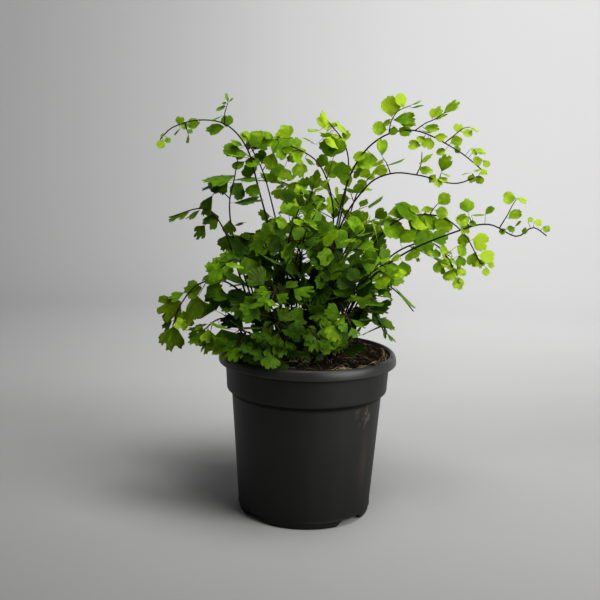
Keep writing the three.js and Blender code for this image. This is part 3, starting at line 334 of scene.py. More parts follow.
# Profile as radius and height. Outside: the foot and its corner, the wall with a fine step near the
# foot, the step out to the collar, the collar, the hollow under the rim, and the rim
outside = [(0, 0), (15, 0), (28, 0), (NOTCH_INNER - 0.8, 0), (NOTCH_INNER + 0.2, 0), (36, 0), (39, 0),
           (FOOT_RADIUS - 2.4, 0), (FOOT_RADIUS - 1.1, 0.15), (FOOT_RADIUS - 0.5, 0.5),
           (FOOT_RADIUS - 0.25, 1.0)]
foot_step = np.interp(WALL_LEVELS, [3.9, 4.1, 4.5, 5.2], [0.3, -0.35, -0.35, 0.0])
outside += [(body_radius(z) - step, z) for z, step in zip(WALL_LEVELS, foot_step)]
outside += [(BODY_TOP_RADIUS + 0.15, BODY_TOP - 0.05), (BODY_TOP_RADIUS + 0.5, BODY_TOP + 0.3),
            (COLLAR_FOOT_RADIUS - 0.7, COLLAR_FOOT - 0.7), (COLLAR_FOOT_RADIUS - 0.25, COLLAR_FOOT - 0.3),
            (COLLAR_FOOT_RADIUS, COLLAR_FOOT + 0.3), (54.3, 86.5), (54.8, 95), (55.2, 102),
            (COLLAR_TOP_RADIUS, RIM_FOOT), (56.2, 107.4), (56.8, 108.5), (57.4, 108.8), (58.0, 108.6),
            (58.45, 108.2), (58.7, 105)]
outside += [(RIM_RADIUS - inward, POT_HEIGHT - down) for inward, down in RIM_EDGE]
# Inside: down behind the rim and the collar, the step, the wall, and the floor
inside = [(54.9, 106), (54.1, 103), (53.5, 94), (53.05, 86), (52.7, 85.0), (50.2, 82.8), (49.7, 82.2),
          (49.5, 81)]
inside += [(body_radius(z) - WALL, z) for z in (60, 30, 12, 7, 4, 2.6)]
inside += [(41.5, POT_FLOOR + 0.1)] + [(radius, POT_FLOOR) for radius in (37, 33, 31, 15, 0)]
pot_profile = np.array(outside + inside, float)
pot_vertices, pot_faces = turned(pot_profile[:, 0], pot_profile[:, 1], POT_SIDES)
outer = np.arange(len(pot_vertices)) < (len(outside) - 1) * POT_SIDES
outer[-2] = True
low = pot_vertices[:, 2] < NOTCH_PART
lifted = np.where(outer, notch_lift(pot_vertices, 0.0), notch_lift(pot_vertices, WALL))
pot_vertices[:, 2] = np.where(low, np.maximum(pot_vertices[:, 2], lifted), pot_vertices[:, 2])

# Colours, places and radii of the marks, in metres as the shader reads them
PLASTIC = [(0.3, (0.0018, 0.0018, 0.0017)), (0.7, (0.0052, 0.0048, 0.0040))]
# Painted light: the paler colour of the rim, standing for the light that it catches
RIM_PAINTED_LIGHT = (0.024, 0.024, 0.022)
STAIN, STAIN_PLACE, STAIN_RADIUS = (0.040, 0.026, 0.012), (0.0385, -0.0285, 0.008), 0.006
DUST, SCUFF_PLACE, SCUFF_RADIUS = (0.15, 0.115, 0.075), (0.0374, -0.0325, 0.0752), 0.0105
# Share of painted shade at heights in millimetres: low on the wall, under the collar and under the rim
PAINTED_SHADE_LEVELS = [(0.0, 0.45), (60.0, 0.0), (80.4, 0.0), (81.8, 0.6), (84.2, 0.8), (85.1, 0.0), (100.9, 0.0),
         (102.6, 0.8), (103.2, 0.9), (103.4, 0.0)]
# Heights in metres times this lie between 0 and 1, as a ramp's places do
PAINTED_SHADE_SCALE = 9.0


def pot_plastic():
    """Dark grey with faint streaks down the wall, dull patches, a run-off stain, a dusty scuff, a smoother
    rim painted paler as painted light, and painted shade as a matt dark finish low and under the collar and
    rim.

    The marks are balls round their places, their edges broken by noise; the painted shade is a ramp of
    height."""
    surface = Surface("pot_plastic")
    streaks = surface.noise(surface.stretched((1.0, 1.0, 0.06)), 160.0, 4.0)
    broad = surface.noise(surface.stretched((1.0, 1.0, 0.3)), 26.0, 3.0)
    grain = surface.noise(surface.place(), 900.0, 2.0)
    scuff_off = surface.distance(surface.place(), SCUFF_PLACE)
    patchy = surface.noise(surface.stretched((1.0, 1.0, 0.55)), 240.0, 5.0, 0.65)
    scuff = ((SCUFF_RADIUS - scuff_off) * 130.0).clamped() * ((patchy - 0.5) * 7.0).clamped()
    dark = surface.ramp(streaks * 0.6 + broad * 0.4, PLASTIC)
    run_off = surface.distance(surface.stretched((1.0, 1.0, 0.2)), STAIN_PLACE)
    stained = surface.blend(((STAIN_RADIUS - run_off) * 160.0).clamped() * streaks, dark, STAIN)
    height = surface.axis("Z")
    # The rim is smoother, and its colour is painted paler as painted light
    rim_polish_and_painted_light = ((height - (RIM_FOOT + 0.2) * MM) * 2000.0).clamped()
    rim_painted_light = surface.blend(rim_polish_and_painted_light * (broad + 0.2), stained, RIM_PAINTED_LIGHT)
    color = surface.blend(scuff * 0.85, rim_painted_light, DUST)
    rough = streaks * 0.20 + broad * 0.20 + 0.34 + scuff * 0.3 - rim_polish_and_painted_light * 0.15
    relief = surface.bump(grain * 0.5 + streaks, 0.25, 0.0003)
    plastic = surface.principled(
        {"Base Color": color, "Roughness": rough, "Normal": relief, "Specular IOR Level": 0.38})
    # Painted shade: a matt dark finish, mixed in low on the wall and under the collar and the rim
    painted_shade = surface.principled({"Base Color": dark, "Roughness": 0.95, "Specular IOR Level": 0.04})
    painted_shade_share = surface.ramp(height * PAINTED_SHADE_SCALE, greys([(z * MM * PAINTED_SHADE_SCALE, share) for z, share in PAINTED_SHADE_LEVELS]))
    return surface.finish(surface.node("ShaderNodeMixShader", {}, {0: painted_shade_share, 1: plastic, 2: painted_shade}))


pot = piece("pot_shell", pot_vertices, pot_faces, pot_plastic())
# The drain holes: cylinders that stand through the notch roofs are taken from the shell, then removed
drill_radius = np.array([0.0, DRAIN_RADIUS, DRAIN_RADIUS, 0.0])
drill_level = np.array([DRILL_FOOT, DRILL_FOOT, DRILL_TOP, DRILL_TOP], float)
drill_form, drill_faces = turned(drill_radius, drill_level, DRILL_SIDES)
drills = []
for turn in NOTCH_TURNS:
    middle = DRAIN_CIRCLE * np.array([np.sin(turn), -np.cos(turn), 0])
    drills.append(piece("drill", drill_form + middle, drill_faces, pot.data.materials[0]))
    cut = pot.modifiers.new("drain_hole", "BOOLEAN")
    cut.object = drills[-1]
    cut.solver = "EXACT"
drilled = pot.evaluated_get(bpy.context.evaluated_depsgraph_get())
pot.data = bpy.data.meshes.new_from_object(drilled)
pot.data.set_sharp_from_angle(angle=HOLE_CREASE)
pot.modifiers.clear()
for drill in drills:
    bpy.data.objects.remove(drill)
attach(pot, "root")
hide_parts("pot")


# Soil: dark peat filled to just under the rim, a little higher in the middle, crumbly on top.
# The same turned form as the filling of the pot, its top raised into lumps of three sizes.
SOIL_EDGE, SOIL_TOP, SOIL_RADIUS = 107.0, 109.4, 54.0
SOIL_SIDES = 200
# Radius and level from the middle of the underside up along the wall, and the rings of the top
SOIL_SIDE = [(0, 6.6), (20, 6.6), (40, 6.6), (44.2, 7.2), (46, 40), (49.4, 82.6), (52.6, 86), (53.3, 97)]
TOP_RINGS = np.linspace(54.6, 0.9, 62)
PEAT_DARK, PEAT_LIGHT, GRAIN = (0.003, 0.0025, 0.002), (0.012, 0.009, 0.006), (0.16, 0.105, 0.04)


def soil_top(x, y):
    """Height of the soil: a low dome, long lumps as in the solid, then shorter and shorter sine lumps."""
    dome = SOIL_EDGE + (SOIL_TOP - SOIL_EDGE) * np.sqrt(np.clip(1 - (x * x + y * y) / SOIL_RADIUS ** 2, 0, 1))
    long_lumps = 0.7 * np.sin(0.31 * x + 1.3) * np.cos(0.27 * y) + 0.5 * np.sin(0.53 * y - 0.22 * x)
    short = 0.34 * np.sin(1.13 * x + 0.7 * y) * np.sin(1.31 * y - 0.45 * x + 1.0)
    shorter = 0.24 * np.sin(2.3 * x - 1.1 * y + 2.0) * np.sin(2.1 * y + 1.4 * x)
    crumb = 0.17 * np.sin(4.3 * x + 2.9 * y) * np.sin(4.9 * y - 2.2 * x + 0.6)
    return dome + long_lumps + short + shorter + crumb


def peat(name, dark, light, scale):
    """Matt brown-black with paler grains and small pits: a coarse and a fine noise, mixed."""
    surface = Surface(name)
    coarse = surface.noise(surface.place(), scale, 8.0, 0.7)
    fine = surface.noise(surface.place(), scale * 4.2, 5.0, 0.7)
    color = surface.ramp(coarse * 0.55 + fine * 0.45, [(0.44, dark), (0.55, light), (0.62, GRAIN)])
    relief = surface.bump(coarse + fine * 0.6, 0.9, 0.0012)
    return surface.finish(surface.principled({
        "Base Color": color, "Roughness": 0.95, "Specular IOR Level": 0.08, "Normal": relief}))


side_radius, side_level = np.array(SOIL_SIDE).T
soil_rings = np.concatenate([side_radius, TOP_RINGS, [0]])
soil_levels = np.concatenate([side_level, np.full(len(TOP_RINGS) + 1, SOIL_EDGE)])
soil_vertices, soil_faces = turned(soil_rings, soil_levels, SOIL_SIDES)
on_top = soil_vertices[:, 2] > SOIL_EDGE - 1
soil_vertices[:, 2] = np.where(
    on_top, soil_top(soil_vertices[:, 0], soil_vertices[:, 1]), soil_vertices[:, 2])
soil = piece("soil_bed", soil_vertices, soil_faces, peat("peat", PEAT_DARK, PEAT_LIGHT, 420.0))
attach(soil, "root")
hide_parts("soil")


# Crumbs: loose bits of peat and bark on the soil, and a few that have fallen on the rim.
# Each is a small ball of a few rings, squashed and knobbly, pressed a little into what carries it.
CRUMBS, CRUMB_REACH = 520, 52.0
CRUMB_LEAST, CRUMB_RANGE = 0.5, 1.5
CRUMB_RINGS, CRUMB_SIDES = 5, 7
BARK_DARK, BARK_LIGHT = (0.004, 0.003, 0.002), (0.022, 0.014, 0.008)
# Those on the rim: turns from the front to the right, distances from the axis, and sizes
RIM_TURNS = np.radians([47, 52, 49, 75, 20, -35])
RIM_REACHES = np.array([57.6, 58.2, 57.0, 57.8, 57.4, 57.9])
RIM_SIZES = np.array([1.15, 0.55, 0.5, 0.5, 0.45, 0.5])


def draw(a, b, c=0.0):
    """A repeatable number from 0 to 1 for each set of keys: the fraction of a large sine.

    The first key is that of the thing drawn for, the second tells what the number is for."""
    wave = np.sin(a * 12.9898 + b * 78.233 + c * 37.719) * 43758.5453
    return wave - np.floor(wave)


def balls(middle, size, key):
    """Balls from a grid of turns and levels, scaled three ways, with a radius that wavers with both."""
    level = np.linspace(-0.86, 0.86, CRUMB_RINGS)[None, :, None]
    turn = np.linspace(0, 2 * np.pi, CRUMB_SIDES, endpoint=False)[None, None, :]
    waver = 1 + 0.28 * np.sin(3 * level + 2 * turn + 6.3 * draw(key, 4)[:, None, None])
    wide = np.sqrt(1 - level ** 2) * waver
    spin = 6.3 * draw(key, 5)[:, None, None]
    x = wide * np.cos(turn + spin)
    y = wide * np.sin(turn + spin) * (0.55 + 0.4 * draw(key, 6)[:, None, None])
    z = level * waver * (0.45 + 0.4 * draw(key, 7)[:, None, None])
    body = np.stack([x, y, z], -1).reshape(len(middle), CRUMB_RINGS * CRUMB_SIDES, 3)
    poles = np.zeros((len(middle), 2, 3))
    poles[:, 0, 2], poles[:, 1, 2] = z[:, 0].mean(-1) * 1.1, z[:, -1].mean(-1) * 1.1
    forms = np.concatenate([body, poles], 1) * size[:, None, None] + middle[:, None, :]
    return forms, [grid_quads(CRUMB_RINGS, CRUMB_SIDES), end_fans(CRUMB_RINGS, CRUMB_SIDES)]


def end_fans(rows, sides):
    """Triangles that close a tube of rows and sides with the two points that follow its rings."""
    side = np.arange(sides)
    after = (side + 1) % sides
    last = (rows - 1) * sides
    start = np.stack([after, side, np.full(sides, rows * sides)], -1)
    end = np.stack([last + side, last + after, np.full(sides, rows * sides + 1)], -1)
    return np.concatenate([start, end])


def repeated(forms, face_sets):
    """Many forms of one layout as a single list of vertices and faces, numbered on from form to form."""
    count = forms.shape[1]
    start = np.arange(len(forms))[:, None, None] * count
    faces = []
    for face_set in face_sets:
        faces += (face_set[None] + start).reshape(-1, face_set.shape[1]).tolist()
    return forms.reshape(-1, 3), faces


crumb_key = np.arange(CRUMBS, dtype=float)
crumb_radius = CRUMB_REACH * np.sqrt(draw(crumb_key, 1))
crumb_turn = 2 * np.pi * draw(crumb_key, 2)
crumb_size = CRUMB_LEAST + CRUMB_RANGE * draw(crumb_key, 3) ** 3
crumb_x, crumb_y = crumb_radius * np.sin(crumb_turn), -crumb_radius * np.cos(crumb_turn)
crumb_z = soil_top(crumb_x, crumb_y) + 0.2 * crumb_size
rim_x, rim_y = RIM_REACHES * np.sin(RIM_TURNS), -RIM_REACHES * np.cos(RIM_TURNS)
crumb_middle = np.concatenate([
    np.stack([crumb_x, crumb_y, crumb_z], -1),
    np.stack([rim_x, rim_y, POT_HEIGHT + 0.45 * RIM_SIZES], -1)])
crumb_balls, crumb_faces = balls(
    crumb_middle, np.concatenate([crumb_size, RIM_SIZES]), np.arange(len(crumb_middle), dtype=float))
crumbs = piece("soil_crumbs", *repeated(crumb_balls, crumb_faces), peat("bark", BARK_DARK, BARK_LIGHT, 700.0))
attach(crumbs, "root")


# Fibres: short dry roots and coir in the top of the soil, many of them along the right-hand rim.
# Each is a thin round thread along a low arc that dips into the soil at both ends.
FIBRES, FIBRE_STEPS, FIBRE_SIDES = 210, 9, 5
# Share of the fibres along the rim, from where on it and over how many degrees, their curl's radius
BY_RIM, RIM_FROM, RIM_OVER, RIM_CURL = 0.4, 25, 110, 50.0
# How far from the axis any fibre may reach, and the least length with its range
FIBRE_REACH, FIBRE_LEAST, FIBRE_RANGE = 54.3, 6, 16
# Distance of their middles from the axis: by the rim the least and its range, elsewhere the most
RIM_NEAREST, RIM_BAND, FIELD_RADIUS = 50.5, 3.6, 50.0
# Height of the arcs and radius of the threads, the least of each and its range
ARCH_LEAST, ARCH_RANGE, THIN_LEAST, THIN_RANGE = 0.5, 1.4, 0.08, 0.13
COIR = [(0.3, (0.035, 0.022, 0.011)), (0.5, (0.14, 0.095, 0.042)), (0.7, (0.40, 0.30, 0.14))]


def unit(vectors):
    """Vectors divided by their lengths."""
    return vectors / np.linalg.norm(vectors, axis=-1, keepdims=True)


def threads(paths, radii, sides, facing):
    """Tubes along many paths: rings square to each path, closed by a point at both ends.

    paths is (tube, step, 3), radii (tube, step), and facing a direction that no path runs along."""
    tubes, steps, _ = paths.shape
    ahead = unit(np.gradient(paths, axis=1))
    first = unit(np.cross(ahead, facing))
    second = np.cross(ahead, first)
    turn = np.linspace(0, 2 * np.pi, sides, endpoint=False)[None, None, :, None]
    ring = first[:, :, None] * np.cos(turn) + second[:, :, None] * np.sin(turn)
    body = (paths[:, :, None] + ring * radii[:, :, None, None]).reshape(tubes, steps * sides, 3)
    past = ahead[:, [0, -1]] * radii[:, [0, -1], None] * np.array([-0.6, 0.6])[None, :, None]
    tips = paths[:, [0, -1]] + past
    return np.concatenate([body, tips], 1), [grid_quads(steps, sides), end_fans(steps, sides)]


fibre_key = np.arange(FIBRES, dtype=float)
by_rim = draw(fibre_key, 11) < BY_RIM
all_round = 2 * np.pi * draw(fibre_key, 12)
fibre_turn = np.where(by_rim, np.radians(RIM_FROM + RIM_OVER * draw(fibre_key, 12)), all_round)
fibre_radius = np.where(
    by_rim, RIM_NEAREST + RIM_BAND * draw(fibre_key, 13), FIELD_RADIUS * np.sqrt(draw(fibre_key, 13)))
fibre_length = FIBRE_LEAST + FIBRE_RANGE * draw(fibre_key, 14)
heading = np.where(by_rim, fibre_turn + 0.3 * (draw(fibre_key, 15) - 0.5), 2 * np.pi * draw(fibre_key, 15))
curl = np.where(by_rim, 1 / RIM_CURL, 0.09 * (draw(fibre_key, 16) - 0.5))
step = np.linspace(-0.5, 0.5, FIBRE_STEPS)[None, :]
run = step * fibre_length[:, None]
angle = heading[:, None] + curl[:, None] * run / 2
fibre_x = (fibre_radius * np.sin(fibre_turn))[:, None] + run * np.cos(angle)
fibre_y = -(fibre_radius * np.cos(fibre_turn))[:, None] + run * np.sin(angle)
inward = np.minimum(1, FIBRE_REACH / np.hypot(fibre_x, fibre_y))
fibre_x, fibre_y = fibre_x * inward, fibre_y * inward
arch = (ARCH_LEAST + ARCH_RANGE * draw(fibre_key, 17))[:, None] * (1 - 5.2 * step ** 2)
fibre_paths = np.stack([fibre_x, fibre_y, soil_top(fibre_x, fibre_y) + arch], -1)
fibre_radii = (THIN_LEAST + THIN_RANGE * draw(fibre_key, 18))[:, None] * (1.1 - 1.2 * np.abs(step))


def coir():
    """Straw brown that turns pale and dark in patches."""
    surface = Surface("coir")
    color = surface.ramp(surface.noise(surface.place(), 140.0, 2.0), COIR)
    return surface.finish(surface.principled({"Base Color": color, "Roughness": 0.75}))


fibre_forms, fibre_faces = threads(fibre_paths, fibre_radii, FIBRE_SIDES, np.array([0.02, 0.03, 1.0]))
fibres = piece("soil_fibres", *repeated(fibre_forms, fibre_faces), coir())
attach(fibres, "root")


# Frond stalks: wiry, polished and nearly black, redder and thinner towards the tips.
# Each frond has one main stalk that stands in the soil, with a thin side stalk to each spray
# and a hair-fine one to each leaflet; all of them are tapered threads along smooth curves.
# Route from the soil up, share where the leaflets start, sprays, longest spray, leaflet size,
# youth from 0 (dark) to 1 (fresh), and the side that the frond faces
FRONDS = {
    "high_left": ([(-10, 8, 103), (-13, 7, 130), (-23, 6, 174), (-35, 4, 216), (-43, 2, 243),
        (-56, -1, 258), (-73, -6, 261), (-90, -10, 256), (-98, -12, 248)], 0.62, 0, 15, 6.5, 0.74, -1),
    "upper_left": ([(-6, -4, 103), (-10, -3, 130), (-17, -2, 171), (-26, 2, 207), (-33, 6, 229),
        (-42, 8, 246)], 0.8, 4, 20, 8.5, 0.62, -1),
    "crown_left": ([(2, -8, 103), (7, -4, 130), (13, 0, 178), (14, 0, 208), (3, -4, 236), (-24, -8, 250)],
        0.5, 3, 22, 9, 0.62, -1),
    "high_right": ([(7, 4, 103), (9, 6, 125), (15, 8, 180), (25, 10, 227), (42, 10, 251), (66, 7, 258),
        (94, 3, 246), (114, 0, 231)], 0.52, 0, 24, 8, 1.0, -1),
    "crown_top": ([(4, 16, 103), (6, 15, 130), (17, 16, 183), (24, 18, 228), (21, 16, 248), (10, 12, 262)],
        0.55, 3, 18, 7.5, 0.85, -1),
    "arch_right": ([(12, -3, 103), (12, -4, 125), (17, -6, 187), (34, -10, 220), (50, -13, 230),
        (68, -15, 229.5), (90, -18, 225), (105, -20, 230)], 0.7, 0, 15, 7, 0.95, -1),
    "long_right": ([(16, -9, 103), (19, -10, 122), (36, -14, 157), (61, -20, 180), (95, -24, 196),
        (113, -24, 200), (130, -25, 193), (140, -26, 199), (149, -26, 194)], 0.42, 0, 15, 7.5, 0.9, -1),
    "droop_right": ([(14, 10, 103), (17, 12, 122), (29, 16, 155), (54, 20, 194), (82, 20, 202),
        (102, 14, 192), (115, 8, 171)], 0.42, 0, 22, 9, 0.95, -1),
    "mid_right": ([(19, 2, 103), (22, 3, 122), (34, 6, 150), (57, 10, 176), (80, 12, 184), (93, 10, 174),
        (98, 9, 163)], 0.4, 3, 20, 9, 0.85, -1),
    "low_right": ([(18, -17, 103), (21, -19, 120), (27, -23, 142), (36, -28, 160), (43, -31, 169),
        (49, -33, 167)], 0.38, 6, 13, 10, 0.42, -1),
    "spray_right": ([(22, -5, 103), (24, -6, 120), (30, -8, 138), (38, -10, 143), (45, -10, 136),
        (52, -8, 122)], 0.4, 0, 10, 9.5, 0.4, -1),
    "fork_right": ([(22, 10, 103), (25, 11, 120), (36, 14, 146), (48, 16, 155), (60, 16, 149),
        (72, 14, 136)], 0.42, 0, 9, 9, 0.6, -1),
    "mid_left": ([(-25, 6, 103), (-31, 5, 122), (-40, 3, 147), (-51, 0, 184), (-54, -2, 207),
        (-51, -2, 224), (-49, 0, 238)], 0.5, 0, 19, 10.5, 0.38, -1),
    "reach_left": ([(-30, 0, 103), (-34, -1, 122), (-46, -2, 158), (-57, -5, 190), (-70, -6, 204),
        (-93, -8, 198)], 0.42, 0, 14, 9.5, 0.36, -1),
    "droop_left": ([(-29, -6, 103), (-33, -7, 120), (-41, -10, 145), (-56, -16, 158), (-72, -20, 156),
        (-83, -22, 143), (-88, -24, 129)], 0.36, 1, 17, 13.5, 0.4, -1),
    "olive_left": ([(-27, -13, 103), (-30, -15, 122), (-36, -18, 148), (-41, -24, 166), (-48, -27, 174),
        (-57, -29, 168)], 0.36, 3, 16, 12.5, 0.42, -1),
    "rim_left": ([(-36, -12, 103), (-40, -16, 116), (-46, -21, 129), (-53, -25, 135), (-60, -29, 134),
        (-67, -32, 128)], 0.35, 3, 11, 11.5, 0.42, -1),
    "front_left": ([(-29, -20, 103), (-32, -26, 117), (-36, -34, 127), (-40, -41, 129), (-43, -47, 123)],
        0.25, 6, 12, 11, 0.42, -1),
    "front_young": ([(-4, -28, 103), (-4, -31, 118), (-2, -33, 130), (4, -36, 138), (11, -41, 133)],
        0.25, 0, 10, 8, 0.9, -1),
    "front_right": ([(6, -24, 103), (9, -27, 116), (12, -30, 127), (16, -33, 131), (20, -37, 127)],
        0.25, 6, 10, 10, 0.4, -1),
    "base_left": ([(-22, -24, 103), (-24, -30, 117), (-25, -38, 132), (-21, -45, 136), (-15, -50, 129)],
        0.2, 6, 12, 10.5, 0.4, -1),
    "base_mid": ([(-7, -21, 103), (-8, -27, 116), (-8, -36, 131), (-2, -45, 136), (6, -51, 129)],
        0.2, 3, 12, 10, 0.45, -1),
    "front_rim": ([(-12, -30, 103), (-13, -34, 115), (-15, -40, 125), (-20, -46, 128), (-26, -51, 122)],
        0.2, 5, 11, 10, 0.45, -1),
    "middle_a": ([(-16, -14, 103), (-17, -16, 125), (-18, -20, 155), (-14, -25, 186), (-8, -31, 207)],
        0.38, 8, 20, 9.5, 0.6, -1),
    "middle_b": ([(-9, -12, 103), (-9, -14, 125), (-7, -20, 160), (-4, -28, 190), (2, -38, 204)],
        0.38, 8, 22, 9.5, 0.7, -1),
    "middle_c": ([(8, -14, 103), (10, -17, 125), (15, -24, 155), (22, -32, 182), (32, -40, 196)],
        0.38, 8, 22, 9.5, 0.7, -1),
    "middle_d": ([(-16, -3, 103), (-15, -4, 125), (-11, -6, 160), (-5, -9, 195), (1, -12, 222)],
        0.45, 8, 16, 9, 0.65, -1),
    "middle_e": ([(14, -18, 103), (18, -22, 122), (27, -29, 150), (38, -37, 168), (49, -41, 177)],
        0.38, 8, 15, 9.5, 0.6, -1),
    "front_mid": ([(-14, -22, 103), (-15, -26, 120), (-18, -36, 145), (-20, -50, 160), (-22, -66, 156)],
        0.32, 4, 18, 10.5, 0.46, -1),
    "front_side": ([(3, -20, 103), (6, -26, 120), (13, -40, 142), (19, -56, 152), (25, -72, 142)],
        0.32, 4, 18, 10, 0.48, -1),
    "back_high": ([(-2, 12, 103), (-3, 15, 130), (-8, 24, 180), (-14, 42, 214), (-24, 68, 221)],
        0.5, 8, 26, 9, 0.8, 1),
    "back_right": ([(12, 18, 103), (15, 22, 128), (24, 36, 165), (36, 56, 191), (50, 78, 191)],
        0.45, 8, 26, 9, 0.85, 1),
    "back_left": ([(-14, 18, 103), (-18, 22, 128), (-24, 40, 158), (-32, 62, 173), (-40, 86, 168)],
        0.45, 8, 24, 9, 0.6, 1),
    "back_long": ([(2, 24, 103), (3, 30, 126), (6, 48, 162), (10, 74, 184), (14, 104, 180)],
        0.42, 8, 24, 9.5, 0.6, 1),
    "back_low": ([(-8, 28, 103), (-12, 34, 120), (-22, 50, 142), (-34, 68, 146), (-44, 84, 130)],
        0.36, 7, 20, 11, 0.35, 1),
    "back_side": ([(18, 24, 103), (22, 31, 120), (28, 48, 140), (33, 70, 145), (36, 92, 131)],
        0.36, 7, 20, 10.5, 0.45, 1),
    "back_mid": ([(9, 8, 103), (12, 9, 130), (21, 17, 175), (30, 28, 212), (40, 38, 226)],
        0.48, 8, 24, 9, 0.8, 1),
}
